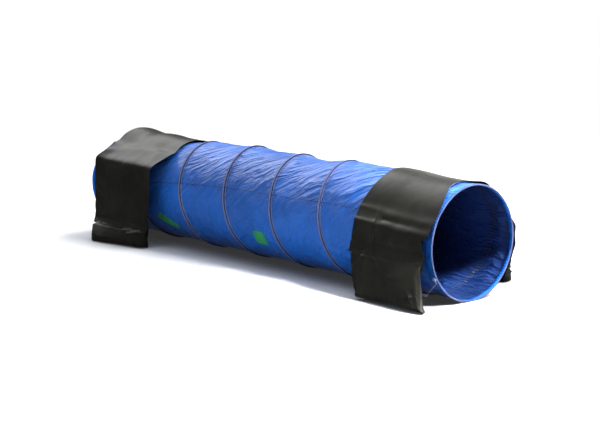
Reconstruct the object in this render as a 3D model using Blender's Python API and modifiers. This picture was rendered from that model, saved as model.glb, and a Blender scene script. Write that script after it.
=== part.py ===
"""Dog agility tunnel with two saddle sandbags, at real size.

Metres, +Z up, +X along the tunnel towards the near mouth, the shown side at -Y.
A spring-steel wire winds in one right-handed spiral under a tape sleeve outside a
fabric skin. Each mouth has a folded hem over the wire's closed end turn. Each
saddle is a sheet over the tunnel with a sand pocket at either end.
"""
import math
from collections import namedtuple

import bmesh
import bpy
import numpy as np
from mathutils import Vector

# Tunnel
TUNNEL_LENGTH = 2.80
WIRE_RING_RADIUS = 0.300
WIRE_DIAMETER = 0.004
SPIRAL_TURNS = 7.25
SPIRAL_START = math.radians(232.5)
END_TURN_GAP = 0.0006
SLACK_SHIFT = 0.117
SLACK_RISE = (0.0, 0.75)
SLACK_FALL = (0.90, 2.30)
FAR_LEAN = 0.13
LEAN_RUN = (0.86, 1.36)
SKIN_THICKNESS = 0.0010
SKIN_SAG = 0.012
SAG_RUN = 0.055
SLEEVE_WIDTH = 0.015
SLEEVE_FOOT = 0.0020
HEM_WIDTH = 0.022
HEM_THICKNESS = 0.0012
HEM_MARGIN = 0.004
CRIMP_WALL = 0.0006
CRIMP_MARGIN = 0.15
CLEARANCE = 0.0003

# Cord
CORD_DIAMETER = 0.0035
CORD_SPACING = 0.010
CORD_LEAD = 2 * CORD_DIAMETER
CORD_RISE = 5 * CORD_DIAMETER
CORD_SWING = 3 * CORD_DIAMETER
KNOT_SCALE = 0.0036
KNOT_ANGLE = math.radians(210)
TAB_ANGLE = math.radians(210)
TAB_LENGTH = 0.024
TAB_WIDTH = 0.014
TAB_THICKNESS = 0.0015
TAB_SHARE = 0.75
TOGGLE_LENGTH = 0.028
TOGGLE_DIAMETER = 0.014
TOGGLE_END = 0.72
TOGGLE_SHOULDER = 0.95
TOGGLE_SHOULDER_AT = 0.32
TOGGLE_PLAY = 0.0008
TOGGLE_SETBACK = 0.110
TOGGLE_OUT = 0.235
TOGGLE_UP = 0.050

# Saddles
SADDLE_WIDTH = 0.50
SHEET_THICKNESS = 0.0020
PANEL_THICKNESS = 0.0015
FLAP_THICKNESS = 0.0012
FLAP_ABOVE = 0.022
FLAP_BELOW = 0.030
FOLD_DEPTH = 0.006
FOLD_COUNT = 3
FOLD_CLEAR = 0.006
TOE_RADIUS = 0.010
FLAP_REACH = 0.20
BELLY_OUT = 0.72
BELLY_UP = 0.45
HEEL_OUT = 0.96
HEEL_UP = 0.20
SAND_CLEARANCE = 0.0006
HOLLOW_RUNOUT = 0.005
NEAR_SADDLE_SETBACK = 0.340
FAR_SADDLE_SETBACK = 0.422

# Facets
MERGE_DISTANCE = 1e-6
SHARP_ANGLE = math.radians(35)
RING_SIDES = 24
ROWS_PER_TURN = 3
END_OVERLAP_STEPS = 2
CROWN_STEPS = 8
ACROSS_STEPS = 8
CRIMP_SIDES = 12
KNOT_POINTS = 36
TOGGLE_SIDES = 16
CURVE_STEPS = 20
FOLD_LEVELS = (0, 0.33, 0.67)
STATIONS = [i / ACROSS_STEPS for i in range(ACROSS_STEPS + 1)]

STEP = 2 * math.pi / RING_SIDES
FACET = math.cos(STEP / 2)
WIRE_RADIUS = WIRE_DIAMETER / 2
CRIMP_ROOM = 2 * CLEARANCE + CRIMP_WALL
END_TURN_PITCH = WIRE_DIAMETER + END_TURN_GAP
END_STEPS = RING_SIDES + END_OVERLAP_STEPS
SPIRAL_STEPS = round(SPIRAL_TURNS * RING_SIDES)
HALF = TUNNEL_LENGTH / 2
WIRE_TAIL_X = HALF - HEM_THICKNESS - CRIMP_ROOM - WIRE_RADIUS
SPIRAL_X = WIRE_TAIL_X - END_TURN_PITCH * END_STEPS / RING_SIDES
PITCH = 2 * SPIRAL_X / SPIRAL_STEPS * RING_SIDES
SKIN_SEAT = WIRE_RING_RADIUS - WIRE_RADIUS - CLEARANCE
SKIN_AT_HEM = WIRE_RING_RADIUS - WIRE_RADIUS - CRIMP_ROOM
HEM_OUTER = WIRE_RING_RADIUS + WIRE_RADIUS + CRIMP_ROOM + HEM_THICKNESS
HEM_INNER = SKIN_AT_HEM - SKIN_THICKNESS - CLEARANCE - HEM_THICKNESS
AXIS_HEIGHT = HEM_OUTER * FACET
SLEEVE_SHOULDER = WIRE_RADIUS + CLEARANCE
SLEEVE_TOP = HEM_OUTER
SKIN_END = HALF - HEM_THICKNESS - CLEARANCE
SKIN_STRAIGHT = HALF - HEM_WIDTH - HEM_MARGIN

# A saddle's side: how far its levels stand out beyond the tunnel and drift along it
# from the crown, the crease's height above the axis and the seam's above the floor,
# and how deep the pocket is at the floor.
Side = namedtuple(
    "Side",
    "name sign crease_out crease_up crease_drift seam_out seam_up seam_drift "
    "toe_near toe_far toe_drift depth",
)
Saddle = namedtuple("Saddle", "name crown_x front back")

NEAR_SADDLE = Saddle(
    "near_saddle",
    HALF - NEAR_SADDLE_SETBACK,
    Side(
        name="front", sign=-1,
        crease_out=0.0206, crease_up=0.0782, crease_drift=0.050,
        seam_out=0.0326, seam_up=0.260, seam_drift=0.050,
        toe_near=0.1246, toe_far=0.1126, toe_drift=0.154, depth=0.040,
    ),
    Side(
        name="back", sign=1,
        crease_out=0.0256, crease_up=0.0582, crease_drift=-0.030,
        seam_out=0.0956, seam_up=0.120, seam_drift=-0.060,
        toe_near=0.2216, toe_far=0.1956, toe_drift=-0.095, depth=0.090,
    ),
)
FAR_SADDLE = Saddle(
    "far_saddle",
    -HALF + FAR_SADDLE_SETBACK,
    Side(
        name="front", sign=-1,
        crease_out=0.0406, crease_up=0.1632, crease_drift=-0.080,
        seam_out=0.0806, seam_up=0.120, seam_drift=-0.030,
        toe_near=0.1356, toe_far=0.2216, toe_drift=0.020, depth=0.072,
    ),
    Side(
        name="back", sign=1,
        crease_out=0.0306, crease_up=0.0982, crease_drift=0.020,
        seam_out=0.0656, seam_up=0.200, seam_drift=0.030,
        toe_near=0.1656, toe_far=0.1756, toe_drift=0.040, depth=0.080,
    ),
)
MOUTH_OVERHANG = (
    NEAR_SADDLE.crown_x + NEAR_SADDLE.front.toe_drift + SADDLE_WIDTH / 2 - HALF
)
MID_X = -MOUTH_OVERHANG / 2

COLOURS = {
    "blue_fabric": ((0.045, 0.130, 0.520), 0.45, 0.0),
    "pale_tape": ((0.330, 0.340, 0.620), 0.60, 0.0),
    "spring_steel": ((0.450, 0.450, 0.460), 0.35, 1.0),
    "dark_sheet": ((0.022, 0.021, 0.016), 0.40, 0.0),
    "sand": ((0.420, 0.330, 0.200), 0.95, 0.0),
    "pale_cord": ((0.420, 0.470, 0.700), 0.70, 0.0),
    "pale_plastic": ((0.500, 0.540, 0.700), 0.40, 0.0),
}


def clear_scene():
    for obj in list(bpy.data.objects):
        bpy.data.objects.remove(obj)


def material(name):
    found = bpy.data.materials.get(name)
    if found:
        return found
    colour, roughness, metallic = COLOURS[name]
    made = bpy.data.materials.new(name)
    made.use_nodes = True
    shader = made.node_tree.nodes["Principled BSDF"]
    shader.inputs["Base Color"].default_value = (*colour, 1)
    shader.inputs["Roughness"].default_value = roughness
    shader.inputs["Metallic"].default_value = metallic
    return made


def new_collection(name):
    made = bpy.data.collections.new(name)
    bpy.context.scene.collection.children.link(made)
    return made


def new_empty(name, place, parent=None):
    made = bpy.data.objects.new(name, None)
    made.location = place
    made.parent = parent
    bpy.data.collections["dog_agility_tunnel"].objects.link(made)
    return made


def add_object(name, data, parent, finish):
    made = bpy.data.objects.new(name, data)
    made.parent = parent
    made.data.materials.append(material(finish))
    bpy.data.collections["dog_agility_tunnel"].objects.link(made)
    return made


def mesh_from(name, build):
    """A mesh from build(bm), with its doubles merged and its faces turned out."""
    bm = bmesh.new()
    build(bm)
    bmesh.ops.remove_doubles(bm, verts=bm.verts, dist=MERGE_DISTANCE)
    bmesh.ops.recalc_face_normals(bm, faces=bm.faces)
    return bm, bpy.data.meshes.new(name)


def finish_mesh(bm, mesh):
    bm.to_mesh(mesh)
    bm.free()
    mesh.shade_smooth()
    mesh.set_sharp_from_angle(angle=SHARP_ANGLE)
    return mesh


def add_face(bm, corners):
    """A face over the corners that differ from the one before."""
    kept = []
    for corner in corners:
        if all((corner.co - other.co).length > MERGE_DISTANCE for other in kept):
            kept.append(corner)
    if len(kept) > 2:
        bm.faces.new(kept)


def loft(name, loops, parent, finish, ring=False):
    """A closed solid through loops of points, capped unless it closes on itself."""

    def build(bm):
        rows = [[bm.verts.new(p) for p in loop] for loop in loops]
        count = len(rows[0])
        spans = len(rows) if ring else len(rows) - 1
        for i in range(spans):
            here, there = rows[i], rows[(i + 1) % len(rows)]
            for j in range(count):
                k = (j + 1) % count
                add_face(bm, (here[j], here[k], there[k]))
                add_face(bm, (here[j], there[k], there[j]))
        if not ring:
            bm.faces.new(rows[0])
            bm.faces.new(rows[-1])

    bm, mesh = mesh_from(name, build)
    return add_object(name, finish_mesh(bm, mesh), parent, finish)


def shell(name, rows, parent, finish, thickness):
    """A surface through rows of points round the axis, with its wall inside it."""

    def build(bm):
        grid = [[bm.verts.new(p) for p in row] for row in rows]
        for here, there in zip(grid, grid[1:]):
            for j in range(len(here) - 1):
                add_face(bm, (here[j], here[j + 1], there[j + 1]))
                add_face(bm, (here[j], there[j + 1], there[j]))

    bm, mesh = mesh_from(name, build)
    topmost = max(bm.faces, key=lambda face: face.calc_center_median().z)
    if topmost.normal.z < 0:
        bmesh.ops.reverse_faces(bm, faces=bm.faces)
    made = add_object(name, finish_mesh(bm, mesh), parent, finish)
    wall = made.modifiers.new("wall", "SOLIDIFY")
    wall.thickness = thickness
    wall.offset = -1
    wall.use_even_offset = True
    return made


def around(x, radius, angle):
    return Vector((x, radius * math.cos(angle), radius * math.sin(angle)))


def between(a, b, share):
    return a + (b - a) * share


def wire_angle(step):
    return SPIRAL_START + (END_STEPS - step) * STEP


def smooth_share(value, limits):
    share = min(1, max(0, (value - limits[0]) / (limits[1] - limits[0])))
    return share * share * (3 - 2 * share)


def spiral_x(turns):
    """A steady pitch, but for the slack that crowds the first turn to the near mouth."""
    slack = smooth_share(turns, SLACK_RISE) * (1 - smooth_share(turns, SLACK_FALL))
    return SPIRAL_X - PITCH * turns + SLACK_SHIFT * slack


def wire_x(step):
    """Along the tunnel: a closed end turn, the spiral, and the other end turn."""
    if step <= END_STEPS:
        return WIRE_TAIL_X - END_TURN_PITCH * step / RING_SIDES
    if step <= END_STEPS + SPIRAL_STEPS:
        return spiral_x((step - END_STEPS) / RING_SIDES)
    return -SPIRAL_X - END_TURN_PITCH * (step - END_STEPS - SPIRAL_STEPS) / RING_SIDES


def leant(x, angle):
    """A place along the tunnel after the far mouth's top has leant inwards."""
    rise = max(0, math.sin(angle)) ** 2
    return x + FAR_LEAN * smooth_share(-x, LEAN_RUN) * rise


def wire_centre(step):
    """The wire's middle at any step: straight between whole steps."""
    low = math.floor(step)
    a, b = (
        around(leant(wire_x(i), wire_angle(i)), WIRE_RING_RADIUS, wire_angle(i))
        for i in (low, low + 1)
    )
    return between(a, b, step - low)


def tube(name, points, diameter, resolution, parent, finish, cyclic=False):
    curve = bpy.data.curves.new(name, "CURVE")
    curve.dimensions = "3D"
    curve.bevel_depth = diameter / 2
    curve.bevel_resolution = resolution
    curve.use_fill_caps = True
    spline = curve.splines.new("POLY")
    spline.points.add(len(points) - 1)
    for point, place in zip(spline.points, points):
        point.co = (*place, 1)
    spline.use_cyclic_u = cyclic
    return add_object(name, curve, parent, finish)


def least_gap(points, diameter, apart):
    """The least gap between stretches of one tube that lie over apart points apart."""
    spots = np.array([tuple(p) for p in points])
    least = 1.0
    for i in range(len(spots) - apart):
        away = np.linalg.norm(spots[i + apart:] - spots[i], axis=1).min()
        least = min(least, away)
    return least - diameter


def spiral_wire(parent):
    last = 2 * END_STEPS + SPIRAL_STEPS
    points = [wire_centre(step) for step in range(last + 1)]
    gap = least_gap(points, WIRE_DIAMETER, RING_SIDES // 2)
    print(f"spiral_wire: least gap to itself {gap * 1000:.2f} mm")
    return tube("spiral_wire", points, WIRE_DIAMETER, 1, parent, "spring_steel")


def sleeve_section(step):
    """A low tent over the wire, its feet on the skin and its top level with the hems."""
    under = WIRE_RING_RADIUS + WIRE_RADIUS + CLEARANCE
    foot = SKIN_SEAT + CLEARANCE
    edge = SLEEVE_WIDTH / 2
    outline = [
        (-edge, foot),
        (-SLEEVE_SHOULDER, SLEEVE_TOP),
        (SLEEVE_SHOULDER, SLEEVE_TOP),
        (edge, foot),
        (edge - SLEEVE_FOOT, foot),
        (SLEEVE_SHOULDER, under),
        (-SLEEVE_SHOULDER, under),
        (-edge + SLEEVE_FOOT, foot),
    ]

    def at(whole):
        angle = wire_angle(whole)
        x = leant(wire_x(whole), angle)
        return [around(x + dx, radius, angle) for dx, radius in outline]

    low = math.floor(step)
    if step == low:
        return at(low)
    return [between(a, b, step - low) for a, b in zip(at(low), at(low + 1))]


def wire_sleeve(parent):
    reach = HALF - HEM_WIDTH - CLEARANCE - SLEEVE_WIDTH / 2
    whole = list(range(2 * END_STEPS + SPIRAL_STEPS + 1))
    travel = [-wire_x(step) for step in whole]
    first, last = (float(np.interp(x, travel, whole)) for x in (-reach, reach))
    steps = [first, *range(math.ceil(first), math.floor(last) + 1), last]
    loops = [sleeve_section(step) for step in dict.fromkeys(steps)]
    return loft("wire_sleeve", loops, parent, "pale_tape")


def skin_point(column, row):
    """Rows follow the wire. A row on it is seated, and the rows between sag inwards."""
    x = spiral_x(column / RING_SIDES + row / ROWS_PER_TURN)
    angle = SPIRAL_START - column * STEP
    if abs(x) >= SKIN_STRAIGHT:
        x = math.copysign(SKIN_STRAIGHT, x)
        return around(leant(x, angle), SKIN_AT_HEM, angle)
    sag = SKIN_SAG if row % ROWS_PER_TURN else 0
    ease = min(1, (SKIN_STRAIGHT - abs(x)) / SAG_RUN)
    return around(leant(x, angle), SKIN_SEAT - sag * ease, angle)


def tunnel_skin(parent):
    last = math.ceil(2 * SPIRAL_X / PITCH * ROWS_PER_TURN) + 1
    columns = []
    for column in range(RING_SIDES + 1):
        angle = SPIRAL_START - column * STEP
        middle = [skin_point(column, row) for row in range(-ROWS_PER_TURN, last)]
        ends = [around(leant(x, angle), SKIN_AT_HEM, angle) for x in (SKIN_END, -SKIN_END)]
        columns.append([ends[0], *middle, ends[1]])
    return shell("tunnel_skin", columns, parent, "blue_fabric", SKIN_THICKNESS)


def hem(name, parent, side):
    """A channel over the wire's end turn, with the skin's edge inside it."""
    outer, inner, wall = HEM_OUTER, HEM_INNER, HEM_THICKNESS
    outline = [
        (-HEM_WIDTH, outer),
        (0, outer),
        (0, inner),
        (-HEM_WIDTH, inner),
        (-HEM_WIDTH, inner + wall),
        (-wall, inner + wall),
        (-wall, outer - wall),
        (-HEM_WIDTH, outer - wall),
    ]
    loops = []
    for column in range(RING_SIDES):
        angle = SPIRAL_START - column * STEP
        lean = leant(side * HALF, angle) - side * HALF
        loops.append([around(side * x + lean, radius, angle) for x, radius in outline])
    return loft(name, loops, parent, "pale_tape", ring=True)


def crimp(name, parent, step, turn, origin_x):
    """An oval steel sleeve round the wire's tail and the turn beside it."""
    low = math.floor(step)
    outward = around(0, 1, wire_angle(low + 0.5))
    inner = WIRE_RADIUS + CLEARANCE
    outer = inner + CRIMP_WALL

    def oval(at, radius):
        middle = between(wire_centre(at), wire_centre(at + turn), 0.5)
        loop = []
        for i in range(CRIMP_SIDES):
            angle = 2 * math.pi * (i + 0.5) / CRIMP_SIDES
            shift = math.copysign(END_TURN_PITCH / 2, math.cos(angle))
            x = shift + radius * math.cos(angle)
            rise = outward * radius * math.sin(angle)
            loop.append(middle + Vector((x - origin_x, 0, 0)) + rise)
        return loop

    start, end = low + CRIMP_MARGIN, low + 1 - CRIMP_MARGIN
    loops = [oval(start, outer), oval(end, outer), oval(end, inner), oval(start, inner)]
    return loft(name, loops, parent, "spring_steel", ring=True)


def smooth_route(route, spacing):
    """Points at a steady spacing along a smooth curve through the route."""
    ends = [route[0] * 2 - route[1], *route, route[-1] * 2 - route[-2]]
    fine = []
    for a, b, c, d in zip(ends, ends[1:], ends[2:], ends[3:]):
        for i in range(CURVE_STEPS):
            t = i / CURVE_STEPS
            fine.append(
                0.5 * (2 * b + (c - a) * t + (2 * a - 5 * b + 4 * c - d) * t * t
                       + (3 * b - a - 3 * c + d) * t ** 3)
            )
    fine.append(route[-1])
    lengths = [0.0]
    for a, b in zip(fine, fine[1:]):
        lengths.append(lengths[-1] + (b - a).length)
    count = round(lengths[-1] / spacing)
    spots = np.array([tuple(p) for p in fine])
    wanted = np.linspace(0, lengths[-1], count + 1)
    columns = [np.interp(wanted, lengths, spots[:, axis]) for axis in range(3)]
    return [Vector(p) for p in zip(*columns)], lengths[-1]


def tab_frame():
    """The tab's middle on the skin's sag behind the first turn, and the way it faces."""
    column = int((SPIRAL_START - TAB_ANGLE) / STEP)
    near = min(skin_point(i, 1).x for i in (column, column + 1))
    far = max(skin_point(i, 2).x for i in (column, column + 1))
    outward = around(0, 1, TAB_ANGLE)
    distance = (SKIN_SEAT - SKIN_SAG) * FACET + CLEARANCE + TAB_THICKNESS / 2
    return outward * distance + Vector((between(near, far, TAB_SHARE), 0, 0)), outward


def cord_tab(parent):
    middle, outward = tab_frame()
    bpy.ops.mesh.primitive_cube_add(size=1)
    made = bpy.context.object
    made.name = made.data.name = "cord_tab"
    for vert in made.data.vertices:
        vert.co = Vector((
            vert.co.x * TAB_LENGTH,
            vert.co.y * TAB_THICKNESS,
            vert.co.z * TAB_WIDTH,
        ))
    for owner in made.users_collection:
        owner.objects.unlink(made)
    bpy.data.collections["dog_agility_tunnel"].objects.link(made)
    made.data.materials.append(material("pale_tape"))
    made.parent = parent
    made.location = middle
    made.rotation_euler.x = TAB_ANGLE
    return made


def knot_frame():
    """The knot's middle outside the hem, and the way out from the axis."""
    outward = around(0, 1, KNOT_ANGLE)
    distance = HEM_OUTER * FACET + CLEARANCE + KNOT_SCALE + CORD_DIAMETER / 2
    return outward * distance + Vector((HALF - HEM_WIDTH / 2, 0, 0)), outward


def rim_knot(parent):
    """An overhand knot drawn as a trefoil, flat against the hem."""
    middle, outward = knot_frame()
    along = Vector((1, 0, 0))
    across = outward.cross(along)
    points = []
    for i in range(KNOT_POINTS):
        t = 2 * math.pi * i / KNOT_POINTS
        u = math.sin(t) + 2 * math.sin(2 * t)
        v = math.cos(t) - 2 * math.cos(2 * t)
        w = -math.sin(3 * t)
        points.append(middle + (along * u + across * v + outward * w) * KNOT_SCALE)
    return tube("rim_knot", points, CORD_DIAMETER, 1, parent, "pale_cord", cyclic=True)


def cord_route():
    """From the tab, down through the toggle, and up to the knot."""
    tab, tab_out = tab_frame()
    knot, knot_out = knot_frame()
    start = tab + tab_out * (TAB_THICKNESS / 2 + CLEARANCE)
    knot_reach = KNOT_SCALE * 3 + CORD_DIAMETER / 2 + CLEARANCE
    down = knot_out.cross(Vector((1, 0, 0)))
    if down.z > 0:
        down = -down
    end = knot + down * knot_reach
    toggle = Vector((HALF - TOGGLE_SETBACK, -TOGGLE_OUT, TOGGLE_UP - AXIS_HEIGHT))
    half = Vector((TOGGLE_LENGTH / 2, 0, 0))
    lead = Vector((CORD_LEAD, 0, 0))
    rise = Vector((0, 0, CORD_RISE))
    return [
        start,
        start + tab_out * CORD_DIAMETER,
        start + tab_out * CORD_SWING + lead / 2,
        toggle - half - lead * 2 + rise,
        toggle - half - lead,
        toggle - half,
        toggle + half,
        toggle + half + lead,
        toggle + half + lead * 2 + rise,
        end + down * CORD_SWING,
        end + down * CORD_DIAMETER,
        end,
    ]


def tie_cord(parent):
    route = cord_route()
    points, length = smooth_route(route[1:-1], CORD_SPACING)
    points = [route[0], *points, route[-1]]
    length += 2 * CORD_DIAMETER
    print(f"tie_cord: {length * 1000:.0f} mm long, {len(points)} points")
    return tube("tie_cord", points, CORD_DIAMETER, 2, parent, "pale_cord")


def cord_toggle(parent):
    """A turned barrel with a bore for the cord, its ends drawn in."""
    bore = CORD_DIAMETER / 2 + TOGGLE_PLAY
    belly = TOGGLE_DIAMETER / 2
    length = TOGGLE_LENGTH
    outline = [
        (-length / 2, bore),
        (-length / 2, belly * TOGGLE_END),
        (-length * TOGGLE_SHOULDER_AT, belly * TOGGLE_SHOULDER),
        (0, belly),
        (length * TOGGLE_SHOULDER_AT, belly * TOGGLE_SHOULDER),
        (length / 2, belly * TOGGLE_END),
        (length / 2, bore),
    ]
    loops = []
    for i in range(TOGGLE_SIDES):
        angle = 2 * math.pi * i / TOGGLE_SIDES
        loops.append([around(x, radius, angle) for x, radius in outline])
    made = loft("cord_toggle", loops, parent, "pale_plastic", ring=True)
    made.location = (HALF - TOGGLE_SETBACK, -TOGGLE_OUT, TOGGLE_UP - AXIS_HEIGHT)
    return made


def tangent_angle(out, up, radius):
    """The angle from straight up at which a line from (out, up) touches the circle."""
    distance = math.hypot(out, up - AXIS_HEIGHT)
    return math.atan2(out, up - AXIS_HEIGHT) - math.acos(radius / distance)


def toe_out(side, share):
    return HEM_OUTER + between(side.toe_far, side.toe_near, share)


def flank_corners(side, share):
    """(out, height) of the sheet's foot, seam and crease, from the middle and the floor."""
    return [
        (toe_out(side, share) - side.depth, 0.0),
        (HEM_OUTER + side.seam_out, side.seam_up),
        (HEM_OUTER + side.crease_out, AXIS_HEIGHT + side.crease_up),
    ]


def wall_out(side, share, height, extra):
    """How far out the sheet's flank is at a height, with extra beyond its inner face."""
    foot, seam, crease = flank_corners(side, share)
    low, high = (seam, crease) if height > side.seam_up else (foot, seam)
    slope = (high[0] - low[0]) / (high[1] - low[1])
    return low[0] + slope * (height - low[1]) + extra * math.hypot(1, slope)


def drift_at(side, height):
    """How far the saddle's middle lies along the tunnel from its crown at a height."""
    levels = [0, side.seam_up, AXIS_HEIGHT + side.crease_up, 2 * AXIS_HEIGHT]
    drifts = [side.toe_drift, side.seam_drift, side.crease_drift, 0]
    return float(np.interp(height, levels, drifts))


def across_at(share, inset=0.0):
    return (share - 0.5) * (SADDLE_WIDTH - 2 * inset)


def fold_base(side):
    """The height at which the folds start, clear of the flap."""
    return side.seam_up + FLAP_ABOVE + FOLD_CLEAR


def fold(share, height, side):
    """The flank's main folds stand out between the crease and the seam."""
    low, high = fold_base(side), AXIS_HEIGHT + side.crease_up
    if not low < height < high:
        return 0.0
    weight = math.sin(math.pi * (height - low) / (high - low))
    return FOLD_DEPTH * weight * (0.5 - 0.5 * math.cos(2 * math.pi * FOLD_COUNT * share))


def half_sheet(side, across):
    """(out, height) from the foot up to the crown on one side."""
    step = math.radians(90) / CROWN_STEPS
    radius = (HEM_OUTER + CLEARANCE) / math.cos(step / 2)
    foot, seam, crease = flank_corners(side, across)
    touch = tangent_angle(*crease, radius)
    flank = [foot, seam]
    for share in FOLD_LEVELS:
        height = between(fold_base(side), crease[1], share)
        flank.append((wall_out(side, across, height, 0), height))
    flank.append(crease)
    count = max(2, math.ceil(touch / step))
    crown = []
    for i in range(count, 0, -1):
        angle = touch * i / count
        crown.append((radius * math.sin(angle), AXIS_HEIGHT + radius * math.cos(angle)))
    return flank + crown, radius


def offset_path(path, distance):
    """An open path of (out, height) moved sideways, with mitred corners."""
    points = [np.array(p, float) for p in path]
    normals = []
    for a, b in zip(points, points[1:]):
        run = (b - a) / np.linalg.norm(b - a)
        normals.append(np.array([-run[1], run[0]]))
    moved = [points[0] + normals[0] * distance]
    for point, before, after in zip(points[1:], normals, normals[1:]):
        mitre = before + after
        moved.append(point + mitre * distance / (1 + before @ after))
    moved.append(points[-1] + normals[-1] * distance)
    return moved


def sheet_section(saddle, share):
    """(side, out, height) of the sheet's inner face, from foot to foot."""
    section = []
    for side in (saddle.front, saddle.back):
        half, radius = half_sheet(side, share)
        folded = [(side, out + fold(share, height, side), height) for out, height in half]
        section.append(folded)
    top = (saddle.front, 0.0, AXIS_HEIGHT + radius)
    return [*section[0], top, *reversed(section[1])]


def saddle_sheet(saddle, parent):
    loops = []
    for share in STATIONS:
        section = sheet_section(saddle, share)
        inner = [(side.sign * out, height) for side, out, height in section]
        outer = offset_path(inner, SHEET_THICKNESS)
        drifts = [drift_at(side, height) for side, _, height in section]
        loop = []
        for face in (list(zip(drifts, inner)), list(zip(drifts, outer))[::-1]):
            for drift, (y, z) in face:
                loop.append((drift + across_at(share), y, max(z, 0)))
        loops.append(loop)
    return loft(saddle.name + "_sheet", loops, parent, "dark_sheet")


def pocket_outline(side, share):
    """(out, height) of the pocket's outer face, from its seam to the sheet's foot."""
    toe = toe_out(side, share)
    top = wall_out(side, share, side.seam_up, SHEET_THICKNESS + CLEARANCE)
    foot = wall_out(side, share, 0, SHEET_THICKNESS + CLEARANCE)
    return [
        (top, side.seam_up),
        (between(top, toe, FLAP_REACH), side.seam_up - FLAP_BELOW),
        (between(top, toe, BELLY_OUT), side.seam_up * BELLY_UP),
        (between(top, toe, HEEL_OUT), side.seam_up * HEEL_UP),
        (toe, TOE_RADIUS),
        (toe - TOE_RADIUS, 0),
        (foot, 0),
    ]


def inset_outline(outline, distances):
    """Each edge of a closed outline moved inwards by its own distance."""
    middle = np.mean(outline, axis=0)
    count = len(outline)
    lines = []
    for i in range(count):
        a, b = np.array(outline[i]), np.array(outline[(i + 1) % count])
        run = (b - a) / np.linalg.norm(b - a)
        normal = np.array([-run[1], run[0]])
        if normal @ (middle - a) < 0:
            normal = -normal
        lines.append((a + normal * distances[i], run))
    corners = []
    for i in range(count):
        (p, u), (q, v) = lines[i - 1], lines[i]
        share = np.linalg.solve(np.column_stack([u, -v]), q - p)[0]
        corners.append(tuple(p + u * share))
    return corners


def pocket_loop(side, corners, x):
    """A pocket section's corners: below the seam the middle drifts at a steady rate."""
    rate = (side.seam_drift - side.toe_drift) / side.seam_up
    return [
        (side.toe_drift + rate * height + x, side.sign * out, height) for out, height in corners
    ]


def pocket(saddle, side, parent):
    """The outer panel with its bottom and ends, hollowed from the sheet's side."""
    outer, hollow = [], []
    for share in STATIONS:
        outline = pocket_outline(side, share)
        walls = [PANEL_THICKNESS] * (len(outline) - 1) + [-HOLLOW_RUNOUT]
        outer.append(pocket_loop(side, outline, across_at(share)))
        inner = inset_outline(outline, walls)
        hollow.append(pocket_loop(side, inner, across_at(share, PANEL_THICKNESS)))
    name = f"{saddle.name}_{side.name}_pocket"
    made = loft(name, outer, parent, "dark_sheet")
    cutter = loft(name + "_hollow", hollow, parent, "dark_sheet")
    hide_cutter(cutter)
    carve(made, cutter)
    return made


def hide_cutter(cutter):
    bpy.data.collections["dog_agility_tunnel"].objects.unlink(cutter)
    bpy.data.collections["cutters"].objects.link(cutter)
    cutter.hide_render = True
    cutter.display_type = "WIRE"


def carve(obj, cutter):
    cut = obj.modifiers.new("hollow", "BOOLEAN")
    cut.operation = "DIFFERENCE"
    cut.object = cutter


def sand(saddle, side, parent):
    """The fill, up to the level of the flap's lower edge."""
    room = PANEL_THICKNESS + SAND_CLEARANCE
    loops = []
    for share in STATIONS:
        outline = pocket_outline(side, share)
        level = outline[1][1]
        wall = wall_out(side, share, level, SHEET_THICKNESS + CLEARANCE)
        heap = [(wall, level), *outline[1:]]
        walls = [0, *[room] * (len(heap) - 2), SAND_CLEARANCE]
        corners = inset_outline(heap, walls)
        loops.append(pocket_loop(side, corners, across_at(share, room)))
    return loft(f"{saddle.name}_{side.name}_sand", loops, parent, "sand")


def flap(saddle, side, parent):
    """The strip that closes the pocket's top, sewn to the sheet above it."""
    above = side.seam_up + FLAP_ABOVE
    loops = []
    for share in STATIONS:
        top, low = (np.array(p) for p in pocket_outline(side, share)[:2])
        run = (low - top) / np.linalg.norm(low - top)
        normal = np.array([-run[1], run[0]])
        sheet = wall_out(side, share, above, SHEET_THICKNESS + CLEARANCE)
        inner = [(sheet, above), tuple(top + normal * CLEARANCE), tuple(low + normal * CLEARANCE)]
        outer = offset_path(inner, FLAP_THICKNESS)
        loop = []
        for out, height in [*inner, *outer[::-1]]:
            loop.append((drift_at(side, height) + across_at(share), side.sign * out, height))
        loops.append(loop)
    return loft(f"{saddle.name}_{side.name}_flap", loops, parent, "dark_sheet")


def saddle_bag(saddle):
    holder = new_empty(saddle.name, (MID_X + saddle.crown_x, 0, 0))
    saddle_sheet(saddle, holder)
    for side in (saddle.front, saddle.back):
        pocket(saddle, side, holder)
        sand(saddle, side, holder)
        flap(saddle, side, holder)


def main():
    clear_scene()
    new_collection("dog_agility_tunnel")
    new_collection("cutters").hide_render = True
    near_end = new_empty("near_end", (MID_X, 0, AXIS_HEIGHT))
    near_mouth = new_empty("near_mouth", (HALF, 0, 0), near_end)
    far_end = new_empty("far_end", (-HALF, 0, 0), near_end)
    tunnel_skin(near_end)
    spiral_wire(near_end)
    wire_sleeve(near_end)
    hem("near_hem", near_mouth, 1)
    crimp("near_crimp", near_mouth, 1, RING_SIDES, HALF)
    hem("far_hem", far_end, -1)
    last = 2 * END_STEPS + SPIRAL_STEPS
    crimp("far_crimp", far_end, last - 2, -RING_SIDES, -HALF)
    cord_tab(near_end)
    rim_knot(near_end)
    tie_cord(near_end)
    cord_toggle(near_end)
    saddle_bag(NEAR_SADDLE)
    saddle_bag(FAR_SADDLE)
    bpy.context.view_layer.update()


main()
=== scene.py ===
"""Dog agility tunnel with two saddle sandbags: its looks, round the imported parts.

Metres, +Z up, +X along the tunnel towards the near mouth, the shown side at -Y.
"""

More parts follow.
